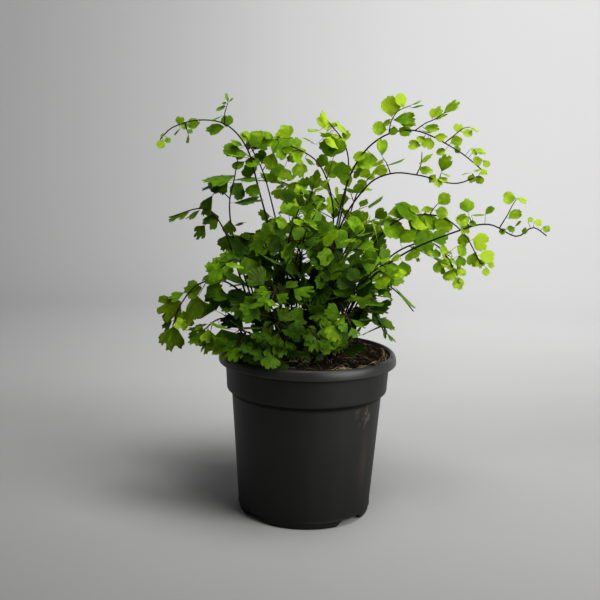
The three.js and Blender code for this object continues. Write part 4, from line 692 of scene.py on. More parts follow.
# Leaflets placed one by one in the front view: side stalks through points of it, and then of each
# leaflet the foot's place across and down, the heading, the length and the roll, in degrees
PLACED = {
    "high_left": ([
        [(224, 125.5), (224.6, 114), (227.5, 104)],
        [(186, 126), (187, 130), (188.3, 134)],
    ], [
        (226.5, 127, 88, 12.5, 0), (224.6, 127, 187, 18, 35), (221.4, 116, 200, 12, 70),
        (226, 106, 195, 10, 55), (228, 102, 97, 8.5, 60), (228.5, 102, 45, 6, 60),
        (226.5, 103, 178, 4.5, 50), (199.7, 123.4, 178, 11.5, 20), (189, 124.4, 195, 8, 10),
        (178.7, 124.4, 75, 8.5, 20), (187, 129.5, -30, 6, 30), (188.3, 134, -95, 9, 60),
        (180.6, 128.3, 220, 9, 60), (166.6, 137.2, -70, 6, 10), (163.4, 139.7, -120, 9, 10),
        (166, 133.5, 200, 6, 40),
    ]),
    "upper_left": ([], [
        (253, 147, 70, 17, 0), (239.3, 148.7, 180, 16, 20), (242.5, 146, 152, 12, 65),
        (247, 153.8, 185, 14, 35), (244.4, 161.4, 215, 13, 30), (252, 156.3, -85, 12.5, 0),
        (247, 137, 120, 6, 40),
    ]),
    "crown_left": ([], [
        (289, 138.5, 115, 15, 0), (259.7, 144.8, 25, 15, 20), (273.7, 152.5, -110, 17, 0),
        (306, 150, 195, 21, 15), (277.5, 138.5, -12, 18, 45), (305, 158, -35, 11, 50),
        (284, 168, -80, 12, 10), (298, 162, -75, 15, 20),
    ]),
    "crown_top": ([], [
        (341, 149, 172, 21, 30), (327.5, 131.5, 106, 18.5, 56), (326, 132, -47, 24, 52),
        (319.6, 130.5, 178, 12, 70), (330, 134, 175, 10, 75), (315.8, 144.8, 152, 14, 78),
        (347.7, 135.3, 130, 17, 65), (323.5, 169, 0, 16, 10),
    ]),
    "high_right": ([
        [(388.8, 132.5), (391, 122), (397, 112), (404, 108), (411, 105.5)],
        [(415.6, 127.8), (425, 123.5), (433, 120), (441, 115), (446, 112)],
        [(445, 142), (451, 138), (457, 133), (463, 128.5), (470, 127)],
    ], [
        (391.5, 116.8, 94, 19.4, 0), (403.6, 108, 105, 14.3, 30), (410.3, 105.4, 31, 11.7, 80),
        (410.3, 108, 18, 12.7, 78), (393.5, 120.2, 8, 21, 35), (398.2, 121, -12, 17, 45),
        (390.2, 119, -130, 9, 50), (386.8, 129.6, 170, 13.5, 10), (394.2, 126.2, -100, 9, 20),
        (399, 128.2, -25, 13, 40), (431.7, 118.2, 56, 14.5, 55), (435, 120.2, 25, 12.6, 78),
        (443.7, 113.5, 39, 19, 62), (423.7, 128.2, 3, 15, 60), (419.6, 129.6, -22, 11, 70),
        (427, 139.6, 172, 10, 50), (421, 145.6, 170, 12.5, 20), (430.4, 137.6, -110, 11.5, 0),
        (433.7, 137, 0, 12.7, 45), (445.8, 149.6, 195, 9.6, 40), (450.4, 143, 20, 12, 20),
        (455.8, 145.6, -60, 8, 10), (457.1, 132.9, 75, 10, 15), (461.8, 132.2, -5, 10.5, 30),
        (469.2, 126.9, -20, 10, 60), (471.2, 148.3, -35, 8.5, 50), (475.9, 148.3, -30, 11, 50),
        (482.6, 159.7, -170, 9.4, 5), (483.3, 160.4, -50, 8, 5), (378, 160, 180, 21, 35),
        (366, 152, -150, 14, 40),
    ]),
    "arch_right": ([
        [(390, 171), (387, 164), (383, 158)],
        [(417, 173), (421, 164), (422, 152)],
    ], [
        (382, 156, 90, 16.5, 35), (385.5, 165.7, 23, 19.6, 82), (419, 163.7, 40, 15.9, 80),
        (419, 167.7, -15, 14, 60), (441.7, 171.7, 72, 17.5, 25), (435.7, 174.4, -130, 9.5, 30),
        (441, 172.4, -20, 9.5, 65), (438.4, 178.4, -90, 8.5, 20), (437.7, 178.4, -5, 10, 45),
        (482.6, 169, 195, 8, 75), (482, 169, -60, 6.5, 10), (473.2, 173.7, -105, 9, 20),
        (480.6, 175.8, -100, 8, 25), (472, 172.4, 195, 9.5, 78),
    ]),
    "long_right": ([
        [(503.3, 221.3), (508, 214), (511.5, 207), (516.5, 199)],
    ], [
        (516, 198.5, 175, 13, 10), (516.7, 198, -18, 11, 55), (508.7, 218.6, 35, 14, 45),
        (485.3, 214.6, 45, 11, 50), (471.2, 215.3, 8, 13, 72), (468, 212.6, 95, 13.5, 15),
        (457, 217.3, 18, 8.7, 80), (470, 217.3, 200, 14, 25), (469.2, 222, -20, 8, 40),
        (461.8, 224.6, -45, 11, 20), (505.4, 228.7, -140, 7, 30), (506.7, 228, -5, 8.5, 45),
        (515.4, 226, 50, 7, 75), (528, 222, 45, 6, 20), (534, 221.3, -15, 8, 20),
        (543.5, 226.6, -40, 7, 10), (525.4, 227.3, -100, 7, 35),
    ]),
    "droop_right": ([
        [(430.4, 212.6), (434, 208), (437.7, 204)],
    ], [
        (437.7, 204, 38, 14.5, 0), (435.7, 210.6, -15, 12, 25), (421, 210.6, 12, 12, 50),
        (425, 212, -85, 15, 0), (446.4, 216.6, -105, 16, 0), (462.5, 232.7, -80, 13.5, 0),
        (472.5, 239.4, -15, 17, 10), (478.6, 255.4, -5, 15.5, 30), (476, 252, -110, 15, 15),
        (479.2, 258.8, -80, 9.5, 0), (487.3, 263.5, -20, 7.5, 10), (486, 266.8, -90, 9, 5),
        (419.6, 211, 160, 10, 45), (395, 204, -25, 26, 55), (388, 214, 12, 24, 50),
        (408, 221, -22, 21, 20), (412, 214, -48, 20, 40), (424, 215, -40, 18, 20), (384, 222, -38, 22, 40),
    ]),
    "mid_right": ([], [
        (457, 246, -35, 13, 30), (459, 255.4, -75, 11.5, 10), (438.4, 260.8, -85, 12, 10),
        (443.7, 267.5, -105, 7, 40), (445, 264.8, -20, 9, 35), (454.5, 267.5, -95, 9, 20),
        (461.2, 267.5, -85, 9, 20), (460, 278.2, -70, 5, 40), (435.7, 248.7, -90, 10, 10),
        (442.4, 243.4, -75, 12, 40), (429, 244.7, -85, 10, 20), (442.4, 252.8, -55, 10, 60),
        (451.8, 252.8, -90, 11, 75), (413, 246, -70, 6, 10), (415.6, 258.8, -20, 5, 20),
        (402.3, 261, -80, 15.5, 5), (388.8, 259.5, -90, 18.7, 5), (370, 259, -95, 26, 10),
        (412, 238, -12, 24, 30), (400, 243, 40, 20, 40), (432, 241, 25, 17, 30), (420, 243, 70, 17, 45),
    ]),
    "mid_left": ([
        [(228.2, 198.4), (223.3, 192.7), (217, 191.4), (212.5, 195.2)],
    ], [
        (236, 175, 197, 32, 58), (231, 176.5, 206, 30, 66), (228, 178, 226, 20, 40),
        (225, 181, 250, 14, 30), (235.5, 179.5, 3, 24, 66), (233, 203, 8, 29, 74),
        (212.5, 195.2, -120, 22, 48), (229.7, 220, -95, 15, 0), (234, 225.5, 10, 12, 78),
        (229, 234, -115, 18, 15), (229, 236, -50, 28, 10), (239, 235.4, 0, 13, 50),
    ]),
    "reach_left": ([], [
        (219, 216.3, 200, 17, 10), (204.8, 225.2, -125, 17, 50), (200, 210, 206, 16, 66),
        (189.5, 211.5, 204, 14, 64), (180.6, 214, 206, 14, 66), (214, 214.5, 214, 14, 60),
    ]),
    "droop_left": ([], [
        (221.4, 287, -110, 24, 0), (194.6, 293.4, -80, 24, 5), (202, 288.3, 185, 18, 20),
        (184.4, 292.7, 200, 17, 40), (180.6, 301, 218, 28, 10), (183, 311, -70, 18, 10),
        (175.5, 325.3, -105, 26, 0),
    ]),
    "olive_left": ([], [
        (240.6, 258.3, 195, 22, 15), (226.5, 280.6, 140, 25, 0), (244.4, 256.4, -70, 20, 5),
        (275, 239, 195, 27, 20),
    ]),
    "spray_right": ([], [
        (367, 304, -25, 22, 72), (372, 311, -60, 15, 60), (378, 318, -35, 20, 72), (384, 326, -75, 13, 58),
        (387, 333, -45, 12, 65), (362, 300, 20, 16, 70), (358, 306, -110, 14, 60),
    ]),
    "fork_right": ([], [
        (395, 287, -50, 29, 74), (376.5, 282.5, -52, 23, 66), (386, 281, 40, 14, 60),
        (372, 289, 30, 14, 60),
    ]),
    "front_young": ([], [
        (322, 331, 60, 14, 10), (316, 333, 150, 10, 10), (320, 340, 0, 21, 25), (322, 346, -40, 11, 20),
        (318, 354, -60, 8, 20), (299, 325, 92, 18, 45), (288, 324, 170, 10, 20), (299, 331, 175, 12, 25),
    ]),
    "base_mid": ([], [
        (295, 346, 165, 19, 15), (296, 349, 40, 10, 20), (292, 356, 200, 17, 50), (316, 339, -60, 15, 30),
    ]),
    "rim_left": ([], [
        (213.8, 335.5, 187, 22, 10), (221.4, 329, -75, 26, 0), (239.3, 319, 188, 20, 60),
        (234, 307, 190, 14, 60),
    ]),
}
UP = np.array([0.0, 0.0, 1.0])
ROOT_DEPTH = 11.0
# How a frond faces: to its own side, up, and outwards over this distance
FACE_SIDE, FACE_UP, FACE_SPREAD = 0.5, 0.85, 250
# Fuller fronds, of this many sprays, carry this many more, low down between these shares
FULL_FROND, INNER_SPRAYS, INNER_FROM, INNER_TO = 8, 5, -0.55, 0.4
# Leaflets are fresher on the outer sprays and at the top; the inner ones are darker by painted shade. Those
# placed one by one are fresher with the square of the way out, from a stale foot.
SPRAY_FRESH, TOP_FRESH, INNER_PAINTED_SHADE, PLACED_FRESH, PLACED_STALE = 0.24, 0.1, 0.25, 0.47, 0.34
# Keys for the draws: so many apart for each frond and spray, from these for placed and top leaflets
FROND_KEYS, SPRAY_KEYS, PLACED_KEYS, TOP_KEYS = 100, 10, 50, 90
# Sprays leave the stalk at this angle in degrees, less so towards the tip, give or take a little
SPRAY_ANGLE, SPRAY_ANGLE_DROP, SPRAY_ANGLE_SPREAD = 58, 14, 20
OUT_SPREAD, NORMAL_SPREAD = 0.5, 0.8
# Share of the leafy part that the sprays take, and how a spray runs on and sags over its length
SPRAY_SHARE, SPRAY_RUN, SPRAY_SAG = 0.96, 0.12, 0.18
# How much shorter the sprays and smaller the leaflets are by the tip, and how sprays vary
SPRAY_TAPER, LEAFLET_TAPER, REACH_LEAST, REACH_RANGE = 0.7, 0.38, 0.75, 0.5
# Room for each side leaflet in shares of its size, the most of them, and where the first and last stand
LEAFLET_ROOM, MOST_SIDE_LEAFLETS, FIRST_SHARE, LAST_SHARE = 0.72, 5, 0.75, 0.9
SIDE_ANGLE, SIDE_ANGLE_SPREAD = 66, 16
# Leaflet sizes beside the size in the table: all of them, the least with its range, and the end one
LARGER, SIZE_LEAST, SIZE_RANGE, END_SIZE = 1.42, 0.78, 0.5, 1.1
# Leaflets at the stalk's own tip: number, step along the stalk, turn, size, its least and its range
TOP_LEAFLETS, TOP_STEP, TOP_TURN, TOP_SIZE, TOP_SIZE_LEAST, TOP_SIZE_RANGE = 4, 0.035, 0.95, 0.62, 0.8, 0.4
# Length of a leaflet's stem: this share of its size and this much more
STEM_SHARE, STEM_LEAST = 0.16, 0.4
# The front view in which single leaflets are placed: distance of its plane and its middle
VIEW_LENGTH, VIEW_MIDDLE = 906.6, 300.0
# Placed twigs lean to the viewer by this at each point. Placed leaflets head in or out by up to half
# of this, tip and nod by this share of what the others do, and are this much larger than measured
TWIG_LEAN, PLACED_DEPTH, PLACED_LOOSE, PLACED_SIZE = 1.2, 0.5, 0.3, 1.08
# Radii of stalks, sprays, twigs and leaflet stems at their feet and tips, and points along each
STALK_RADII, SPRAY_RADII, TWIG_RADII, STEM_RADII = (0.82, 0.40), (0.34, 0.20), (0.42, 0.24), (0.18, 0.13)
STALK_STEPS, SPRAY_STEPS, TWIG_STEPS, STEM_STEPS = 60, 8, 16, 4
# Sides of the same four, and their tones at feet and tips
STALK_KINDS = [(8, 0.0, 0.75), (5, 0.5, 0.9), (6, 0.4, 0.85), (4, 0.8, 1.0)]
LACQUER = [(0.0, (0.003, 0.002, 0.002)), (0.55, (0.010, 0.004, 0.004)), (1.0, (0.05, 0.026, 0.012))]


def smooth_route(points):
    """A dense curve through the points, each span a cubic that runs on in line with its neighbours."""
    points = np.asarray(points, float)
    padded = np.vstack([2 * points[0] - points[1], points, 2 * points[-1] - points[-2]])
    w = np.linspace(0, 1, 40, endpoint=False)[None, :, None]
    a, b, c, d = (padded[i:len(padded) - 3 + i, None] for i in range(4))
    square, cube = 2 * a - 5 * b + 4 * c - d, 3 * b - a - 3 * c + d
    spans = 0.5 * (2 * b + (c - a) * w + square * w ** 2 + cube * w ** 3)
    return np.vstack([spans.reshape(-1, 3), points[-1]])


def along(curve, share):
    """Points and directions at shares of a dense curve's length."""
    gone = np.concatenate([[0], np.cumsum(np.linalg.norm(np.diff(curve, axis=0), axis=1))])
    ahead = np.gradient(curve, gone, axis=0)
    at = share * gone[-1]
    point = np.stack([np.interp(at, gone, curve[:, i]) for i in range(3)], -1)
    direction = np.stack([np.interp(at, gone, ahead[:, i]) for i in range(3)], -1)
    return point, unit(direction)


def squared(vectors, axis):
    """Unit vectors turned square to an axis: less their part along it."""
    return unit(vectors - axis * (vectors * axis).sum(-1, keepdims=True))


def from_view(u, v, y):
    """Points that the camera sees at u across and v down, at depth y: eye plus ray, as long as it takes."""
    u, v, y = (np.asarray(value, float)[..., None] for value in (u, v, y))
    ray = camera_right * (u - VIEW_MIDDLE) + camera_up * (VIEW_MIDDLE - v) + camera_ahead * VIEW_LENGTH
    return CAMERA_PLACE / MM + ray * (y - CAMERA_PLACE[1] / MM) / ray[..., 1:2]


def nearest(carriers, u, v):
    """The carriers' points that the camera sees nearest to each u and v."""
    seen = carriers - CAMERA_PLACE / MM
    scale = VIEW_LENGTH / (seen @ camera_ahead)
    across, down = VIEW_MIDDLE + scale * (seen @ camera_right), VIEW_MIDDLE - scale * (seen @ camera_up)
    gap = np.hypot(across - np.asarray(u)[..., None], down - np.asarray(v)[..., None])
    return carriers[gap.argmin(-1)]


def place_leaflets(index, curve, youth, twigs, leaflets):
    """Side stalks and leaflets set in the front view, each joined to the nearest carrier.

    A blade heads along aim in the view's plane, a little in or out of it, and is rolled up about it.
    Its freshness rises with the square of how far along the frond it is joined."""
    carriers = [curve]
    for points in twigs:
        start = nearest(curve, *points[0])
        lean = TWIG_LEAN * np.arange(1, len(points))
        u, v = np.array(points[1:]).T
        carriers.append(smooth_route([start, *from_view(u, v, start[1] - lean)]))
    u, v, heading, length, roll = np.array(leaflets, float).T
    joint = nearest(np.vstack(carriers), u, v)
    gone = np.linalg.norm(curve - joint[:, None], axis=-1).argmin(-1) / len(curve)
    key = FROND_KEYS * index + PLACED_KEYS + np.arange(len(u), dtype=float)
    heading, roll = np.radians(heading)[:, None], np.radians(roll)[:, None]
    aim = unit(camera_right * np.cos(heading) + camera_up * np.sin(heading)
               + camera_ahead * PLACED_DEPTH * (draw(key, 8) - 0.5)[:, None])
    to_eye = squared(np.broadcast_to(-camera_ahead, aim.shape), aim)
    raised = np.cross(aim, to_eye)
    raised = raised * np.where(raised[:, 2:] < 0, -1, 1)
    return carriers[1:], {
        "joint": joint, "foot": from_view(u, v, joint[:, 1]), "aim": aim,
        "normal": to_eye * np.cos(roll) + raised * np.sin(roll),
        "size": PLACED_SIZE * length * (joint[:, 1] - CAMERA_PLACE[1] / MM) / VIEW_LENGTH, "key": key,
        "side": np.zeros(len(u)), "fresh": youth * (PLACED_FRESH * gone ** 2 - PLACED_STALE),
        "loose": np.full(len(u), PLACED_LOOSE)}


def lay_out(index, placed, route, leafy, sprays, reach, leaf, youth, side):
    """A frond's main curve, its side stalks, sprays and leaflets.

    Sprays leave the stalk by turns to its two sides, shorter towards the tip, and sag with the square
    of the way along; leaflets stand along each spray by turns, and one ends it."""
    curve = smooth_route(route)
    face = unit(np.array([np.mean([p[0] for p in route]) / FACE_SPREAD, FACE_SIDE * side, FACE_UP]))
    inner = INNER_SPRAYS if sprays >= FULL_FROND else 0
    order = np.concatenate([np.arange(sprays), 0.5 + np.arange(inner)])
    outer_far = (np.arange(sprays) + 0.5) / max(sprays, 1)
    far = np.concatenate([outer_far, np.linspace(INNER_FROM, INNER_TO, inner)])
    # The inner sprays are darker by painted shade
    fresh = np.concatenate([SPRAY_FRESH * (outer_far - 0.5), np.full(inner, -INNER_PAINTED_SHADE)])
    start, ahead = along(curve, leafy + (1 - leafy) * SPRAY_SHARE * far)
    beside = unit(np.cross(ahead, face)) * np.where(np.floor(order) % 2, 1, -1)[:, None]
    far = np.clip(far, 0, 1)
    swing = SPRAY_ANGLE_SPREAD * (draw(index, order, 1) - 0.5)
    angle = np.radians(SPRAY_ANGLE - SPRAY_ANGLE_DROP * far + swing)[:, None]
    key = FROND_KEYS * index + SPRAY_KEYS * order
    lean = OUT_SPREAD * (draw(index, order, 2)[:, None] - 0.5)
    out = unit(ahead * np.cos(angle) + beside * np.sin(angle) + face * lean)
    tilt = NORMAL_SPREAD * (np.stack([draw(key, i) for i in (1, 2, 3)], -1) - 0.5)
    normal = squared(face + tilt, out)
    length = reach * (1 - SPRAY_TAPER * far) * (REACH_LEAST + REACH_RANGE * draw(index, order, 3))
    size = leaf * (1 - LEAFLET_TAPER * far)
    sag = ahead * SPRAY_RUN * length[:, None] - UP * SPRAY_SAG * length[:, None]
    across = np.cross(normal, out)
    first_way = np.where((across * ahead).sum(-1) < 0, 1, -1)
    count = np.clip(np.floor(length / (LEAFLET_ROOM * size)), 0, MOST_SIDE_LEAFLETS)
    k = np.arange(MOST_SIDE_LEAFLETS + 1, dtype=float)[None, :]
    ends = k == count[:, None]
    kept = k <= count[:, None]
    s = np.where(ends, 1.0, (k + FIRST_SHARE) / (count[:, None] + LAST_SHARE))[..., None]
    joint = start[:, None] + out[:, None] * length[:, None, None] * s + sag[:, None] * s ** 2
    onward = unit(out[:, None] * length[:, None, None] + 2 * sag[:, None] * s)
    way = np.where(k % 2, -1, 1) * first_way[:, None]
    leaf_key = key[:, None] + k
    side_angle = np.radians(SIDE_ANGLE + SIDE_ANGLE_SPREAD * (draw(leaf_key, 8) - 0.5))
    turn = np.where(ends, 0.0, way * side_angle)[..., None]
    lateral = squared(np.broadcast_to(across[:, None], onward.shape), onward)
    aim = onward * np.cos(turn) + lateral * np.sin(turn)
    grown = size[:, None] * np.where(ends, END_SIZE, 1.0) * (SIZE_LEAST + SIZE_RANGE * draw(leaf_key, 5))
    top_k = np.arange(TOP_LEAFLETS if sprays else 0, dtype=float)
    top_joint, top_ahead = along(curve, 1 - TOP_STEP * top_k)
    top_side = unit(np.cross(top_ahead, face)) * np.where(top_k % 2, 1, -1)[:, None]
    top_turn = np.where(top_k == 0, 0.0, TOP_TURN)[:, None]
    top_key = FROND_KEYS * index + TOP_KEYS + top_k
    top_aim = top_ahead * np.cos(top_turn) + top_side * np.sin(top_turn)
    top_grown = TOP_SIZE * leaf * (TOP_SIZE_LEAST + TOP_SIZE_RANGE * draw(top_key, 5))
    ruled = {
        "joint": np.concatenate([joint[kept], top_joint]), "aim": np.concatenate([aim[kept], top_aim]),
        "normal": np.concatenate([
            np.broadcast_to(normal[:, None], aim.shape)[kept], np.broadcast_to(face, top_aim.shape)]),
        "size": LARGER * np.concatenate([grown[kept], top_grown]),
        "key": np.concatenate([leaf_key[kept], top_key]),
        "side": np.concatenate([np.where(ends, 0.0, way)[kept], 0 * top_k]),
        "fresh": np.concatenate([np.broadcast_to(fresh[:, None], kept.shape)[kept], TOP_FRESH + 0 * top_k]),
    }
    ruled["foot"] = ruled["joint"] + ruled["aim"] * (STEM_SHARE * ruled["size"] + STEM_LEAST)[:, None]
    ruled["loose"] = np.ones(len(ruled["key"]))
    if placed:
        twigs, own = place_leaflets(index, curve, youth, *placed)
        ruled = {key: np.concatenate([ruled[key], own[key]]) for key in ruled}
    else:
        twigs = []
    return {"curve": curve, "face": face, "youth": youth, "start": start, "out": out, "length": length,
            "sag": sag, "twigs": twigs, **ruled}


def stalk_gloss():
    """Black-brown lacquer look, redder towards the tips by the tip attribute, with duller patches."""
    surface = Surface("stalk_gloss")
    tip = surface.attribute("tip")
    patch = surface.noise(surface.place(), 260.0, 2.0)
    return surface.finish(surface.principled({
        "Base Color": surface.ramp(tip + patch * 0.3 - 0.15, LACQUER),
        "Roughness": patch * 0.2 + 0.34, "Specular IOR Level": 0.15}))


def paint_points(made, name, values):
    """Stores a number for each vertex as a named attribute."""
    layer = made.data.attributes.new(name, "FLOAT", "POINT")
    layer.data.foreach_set("value", np.asarray(values, np.float32))


def tapered(paths, radii):
    """Radii that fall evenly from foot to tip, for each of the paths."""
    return np.broadcast_to(np.linspace(*radii, paths.shape[1]), paths.shape[:2])


def stalk_threads(frond):
    """The paths and radii of a frond's four kinds of stalk.

    The main one follows the curve from below the soil, side stalks sag with the square of the way
    along, twigs follow their own curves, and stems run straight to the foot of each leaflet."""
    down = unit(frond["curve"][0] - frond["curve"][1])
    share = np.linspace(0, 1, STALK_STEPS)
    above = along(frond["curve"], share)[0]
    main = np.vstack([above[0] + down * ROOT_DEPTH, above[0] + down * ROOT_DEPTH / 2, above])[None]
    foot, tip = STALK_RADII
    main_radii = np.concatenate([[foot, foot], foot - (foot - tip) * share])[None]
    s = np.linspace(0, 1, SPRAY_STEPS)[None, :, None]
    reach = frond["out"][:, None] * frond["length"][:, None, None]
    sprays = frond["start"][:, None] + reach * s + frond["sag"][:, None] * s ** 2
    twigs = [along(twig, np.linspace(0, 1, TWIG_STEPS))[0] for twig in frond["twigs"]]
    twigs = np.array(twigs).reshape(-1, TWIG_STEPS, 3)
    s = np.linspace(0, 1, STEM_STEPS)[None, :, None]
    stem_ends = frond["foot"] + 0.1 * frond["aim"]
    stems = frond["joint"][:, None] * (1 - s) + stem_ends[:, None] * s
    return [(main, main_radii), (sprays, tapered(sprays, SPRAY_RADII)),
            (twigs, tapered(twigs, TWIG_RADII)), (stems, tapered(stems, STEM_RADII))]


stalk_finish = stalk_gloss()
layouts = {name: lay_out(index, PLACED.get(name), *FRONDS[name]) for index, name in enumerate(FRONDS)}
for name, frond in layouts.items():
    vertices, faces, tips = np.zeros((0, 3)), [], []
    for (paths, radii), (sides, low_tone, high_tone) in zip(stalk_threads(frond), STALK_KINDS):
        if not len(paths):
            continue
        forms, face_sets = threads(paths, radii, sides, frond["face"] + np.array([0.11, 0.05, 0.0]))
        more, more_faces = repeated(forms, face_sets)
        faces += [[v + len(vertices) for v in face] for face in more_faces]
        vertices = np.vstack([vertices, more])
        rise = np.repeat(np.linspace(low_tone, high_tone, paths.shape[1]), sides)
        tips.append(np.tile(np.concatenate([rise, [low_tone, high_tone]]), len(forms)))
    stalk = piece(f"frond_{name}_stalk", vertices, faces, stalk_finish)
    paint_points(stalk, "tip", np.concatenate(tips))
    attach(stalk, "root")
    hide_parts(f"frond_{name}")


# Leaflets: thin fans, green and slightly see-through, smooth with veins that spread from the foot.
# Fresh ones are small, scalloped and yellow-green, old ones larger, dark and deeply lobed. Each is
# a closed thin sheet on a fan of angles, tipped, arched and waved by its own numbers.
# Points along the edge of a fan, and the thickness of the blade
SAMPLES, BLADE = 17, 0.26
# Fewest lobes and their range, least cut and its range, depth of the teeth, squareness of the
# corners, and least half angle in degrees, for the old and the young shape
OLD_SHAPE = 3, 2, 0.14, 0.26, 0.075, 0.26, 37
YOUNG_SHAPE = 1.7, 2.6, 0.05, 0.18, 0.055, 0.44, 42
HALF_ANGLE_RANGE = 21
# Fronds below this youth have the old shape
OLD_YOUTH = 0.5
# A cut is this many points wide to each side, the corners follow a cosine over this share of half
# a turn, and a fan is longer by this share on the side of its stalk where it stands
CUT_POINTS, CORNER_SHARE, SKEW = 1.5, 0.43, 0.16
# A blade tips to one side and nods by up to half of these, and the under side is a little paler
TIP_RANGE, NOD_RANGE, UNDER_PALER = 1.2, 0.6, 0.05
# It droops or rises at its sides, and waves along its edge, by shares of its radius
DROOP_RANGE, MOST_RISE, WAVE, WAVES = 0.20, 0.02, 0.035, 5
# Painted shade inside the plant, paler on its outer left, and a spread from blade to blade
INSIDE_PAINTED_SHADE, OUTER_PALER, TONE_SPREAD = 0.5, 0.15, 0.36
# Painted shade inside: below this height, fading over this, and within so many times this radius, depth less
# so
INSIDE_TOP, INSIDE_FADE, CORE_TIMES, CORE_RADIUS, CORE_DEPTH = 215, 70, 1.35, 44, 0.7
# Outer left: left of this place and below this height, each fading in over so much
OUTER_PLACE, OUTER_FADE, OUTER_TOP, OUTER_TOP_FADE = 38, 26, 205, 20
# Wear of old blades: the range of its draw, less the part that shows none, and more on the outer left
WEAR_RANGE, WEAR_NONE, OUTER_WEAR = 1.3, 0.85, 0.7
GREENS = [(0.0, (0.006, 0.018, 0.001)), (0.3, (0.035, 0.102, 0.002)), (0.62, (0.102, 0.235, 0.003)),
          (0.85, (0.250, 0.420, 0.006)), (1.0, (0.45, 0.62, 0.022))]
OLIVE, VEIN = (0.085, 0.120, 0.003), (0.34, 0.48, 0.03)
# Radians of the veins' sine over the fan, which makes eight veins
VEIN_TURNS = 50.0
# Finishes up to a youth: name, green of the light that comes through, its share, strength of the veins
FINISHES = [(0.45, "leaf_old", (0.07, 0.17, 0.004), 0.22, 0.09),
            (0.72, "leaf_grown", (0.22, 0.40, 0.008), 0.30, 0.17),
            (9.0, "leaf_young", (0.50, 0.70, 0.02), 0.36, 0.24)]


def blades(frond):
    """Closed fans: a radius that lobes and teeth cut into, over an angle across the fan.

    The sheet tips to one side, droops as the square of the angle and waves along its edge; two
    copies stand half the thickness above and below, joined along the edge, and meet at the foot."""
    key, old = frond["key"], frond["youth"] < OLD_YOUTH
    lobes, lobe_range, cut_depth, cut_range, tooth_depth, squareness, half_angle = (
        OLD_SHAPE if old else YOUNG_SHAPE)
    size, aim = frond["size"], frond["aim"]
    normal = squared(frond["normal"], aim)
    lateral = np.cross(normal, aim)
    tip = TIP_RANGE * frond["loose"] * (draw(key, 6) - 0.5)
    nod = NOD_RANGE * frond["loose"] * (draw(key, 15) - 0.6)
    normal = squared(normal - lateral * tip[:, None], aim)
    aim = unit(aim + normal * nod[:, None])
    normal = squared(normal, aim)
    lateral = np.cross(normal, aim)
    step = np.arange(SAMPLES)[None, :]
    a = 2 * step / (SAMPLES - 1) - 1
    lobes = np.floor(lobes + lobe_range * draw(key, 16))[:, None]
    depth = (cut_depth + cut_range * draw(key, 17))[:, None]
    phase = step * lobes / (SAMPLES - 1)
    cut = np.round(phase)
    off = np.abs(phase - cut) * (SAMPLES - 1) / lobes
    notch = np.clip(1 - off / CUT_POINTS, 0, 1) * ((cut > 0) & (cut < lobes))
    tooth = (step % 2 == 0) * tooth_depth
    corner = np.cos(a * CORNER_SHARE * np.pi) ** squareness
    outline = corner * (1 + SKEW * a * frond["side"][:, None]) * (1 - depth * notch) * (1 - tooth)
    turn = a * np.radians(half_angle + HALF_ANGLE_RANGE * draw(key, 18))[:, None]
    radius = outline * size[:, None]
    droop = (DROOP_RANGE * draw(key, 21) - MOST_RISE)[:, None] * np.sin(turn) ** 2
    wave = WAVE * np.sin(WAVES * turn + 6.3 * draw(key, 19)[:, None])
    lift = radius * (wave - droop)
    sheet = (frond["foot"][:, None] + lateral[:, None] * (radius * np.sin(turn))[..., None]
             + aim[:, None] * (radius * np.cos(turn))[..., None] + normal[:, None] * lift[..., None])
    thick = normal[:, None] * BLADE / 2
    return np.concatenate([sheet + thick, sheet - thick, frond["foot"][:, None]], 1)


def blade_faces():
    """The faces of one blade, upper, lower, edge and sides, with their places across and along the fan.

    A triangle that meets the foot has the foot's place across in the middle of its other two."""
    top = np.arange(SAMPLES)
    under, root = top + SAMPLES, np.full(SAMPLES - 1, 2 * SAMPLES)
    upper = np.stack([top[1:], top[:-1], root], -1)
    lower = np.stack([under[:-1], under[1:], root], -1)
    edge = np.stack([top[:-1], top[1:], under[1:], under[:-1]], -1)
    ends = np.array([[top[0], under[0], 2 * SAMPLES], [under[-1], top[-1], 2 * SAMPLES]])
    across = np.concatenate([top, top, [0.0]]) / (SAMPLES - 1)
    reach = np.concatenate([np.ones(2 * SAMPLES), [0.0]])
    sets, spots = [upper, lower, edge, ends], []
    for faces in sets:
        spot = np.stack([across[faces], reach[faces]], -1)
        if faces.shape[1] == 3:
            spot[:, 2, 0] = spot[:, :2, 0].mean(-1)
        spots.append(spot.reshape(-1, 2))
    return sets, spots


def leaf_tones(frond):
    """Tone and wear of each blade: its frond's youth, its own freshness with the painted shade of inner
    sprays, painted shade low in the middle of the plant, paler and more worn far out on the left, and a draw
    of its own."""
    x, y, z = frond["foot"].T
    core = np.clip(CORE_TIMES - np.hypot(x, CORE_DEPTH * y) / CORE_RADIUS, 0, 1)
    inside = np.clip((INSIDE_TOP - z) / INSIDE_FADE, 0, 1) * core
    left = np.clip((-x - OUTER_PLACE) / OUTER_FADE, 0, 1)
    outer = left * np.clip((OUTER_TOP - z) / OUTER_TOP_FADE, 0, 1)
    own = TONE_SPREAD * (draw(frond["key"], 20) - 0.5)
    # Painted shade: blades low in the middle of the plant are made darker
    tone = frond["youth"] + frond["fresh"] - INSIDE_PAINTED_SHADE * inside + OUTER_PALER * outer + own
    worn = np.clip(WEAR_RANGE * draw(frond["key"], 23) - WEAR_NONE + OUTER_WEAR * outer, 0, 1)
    return tone, worn * (frond["youth"] < OLD_YOUTH)


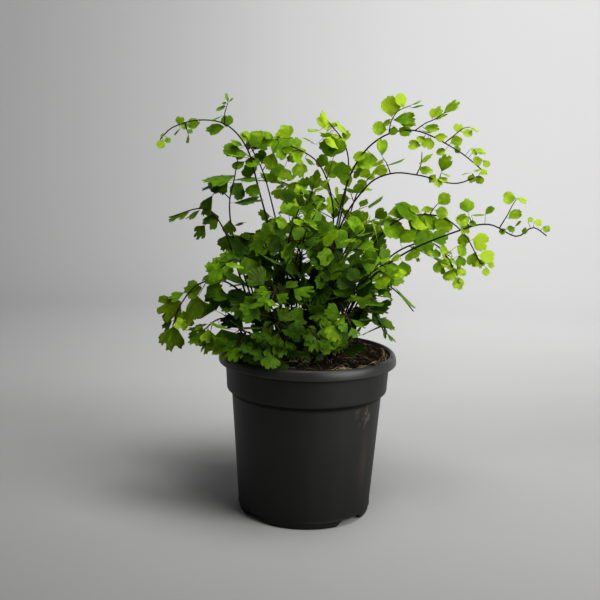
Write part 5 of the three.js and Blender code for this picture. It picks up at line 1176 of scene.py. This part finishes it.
def leaf_skin(name, through, share, strength):
    """Green by the tone attribute, paler veins that fan out over the blade, olive where it is worn.

    The veins are a sine of the place across the fan, faded towards the foot."""
    surface = Surface(name)
    fan = surface.node("ShaderNodeUVMap", {"uv_map": "fan"}, {})
    reach = surface.axis("Y", fan)
    mottle = surface.noise(surface.place(), 330.0, 3.0)
    patch = surface.noise(surface.place(), 110.0, 2.0)
    shade = surface.attribute("tone") + (mottle - 0.5) * 0.7 + (patch - 0.5) * 0.5 + reach * 0.12 - 0.07
    veins = ((surface.axis("X", fan) * VEIN_TURNS).sine() * 1.6 - 0.6).clamped() * reach
    olive = surface.blend(surface.attribute("worn") * patch * 1.3, surface.ramp(shade, GREENS), OLIVE)
    skin = surface.principled({
        "Base Color": surface.blend(veins * strength, olive, VEIN),
        "Roughness": mottle * 0.16 + 0.42, "Specular IOR Level": 0.07,
        "Normal": surface.bump(veins * 0.6 + mottle * 0.5, 0.4, 0.0003)})
    glow = surface.node("ShaderNodeBsdfTranslucent", {}, {"Color": through})
    return surface.finish(surface.node("ShaderNodeMixShader", {}, {0: share, 1: skin, 2: glow}))


face_sets, face_spots = blade_faces()
leaf_finishes = [(limit, leaf_skin(*finish)) for limit, *finish in FINISHES]
for name, frond in layouts.items():
    finish = next(skin for limit, skin in leaf_finishes if frond["youth"] < limit)
    forms = blades(frond)
    leaves = piece(f"frond_{name}_leaves", *repeated(forms, face_sets), finish, np.radians(50))
    fan_points = np.concatenate([np.tile(spots, (len(forms), 1)) for spots in face_spots])
    leaves.data.uv_layers.new(name="fan").data.foreach_set("uv", fan_points.ravel().astype(np.float32))
    tone, worn = leaf_tones(frond)
    paler = np.concatenate([np.zeros(SAMPLES), np.full(SAMPLES, UNDER_PALER), [0.0]])
    paint_points(leaves, "tone", np.repeat(tone, len(paler)) + np.tile(paler, len(forms)))
    paint_points(leaves, "worn", np.repeat(worn, len(paler)))
    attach(leaves, "root")
    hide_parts(f"frond_{name}")

# The bounds of the pieces that render, the backdrop left out
low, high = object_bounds()
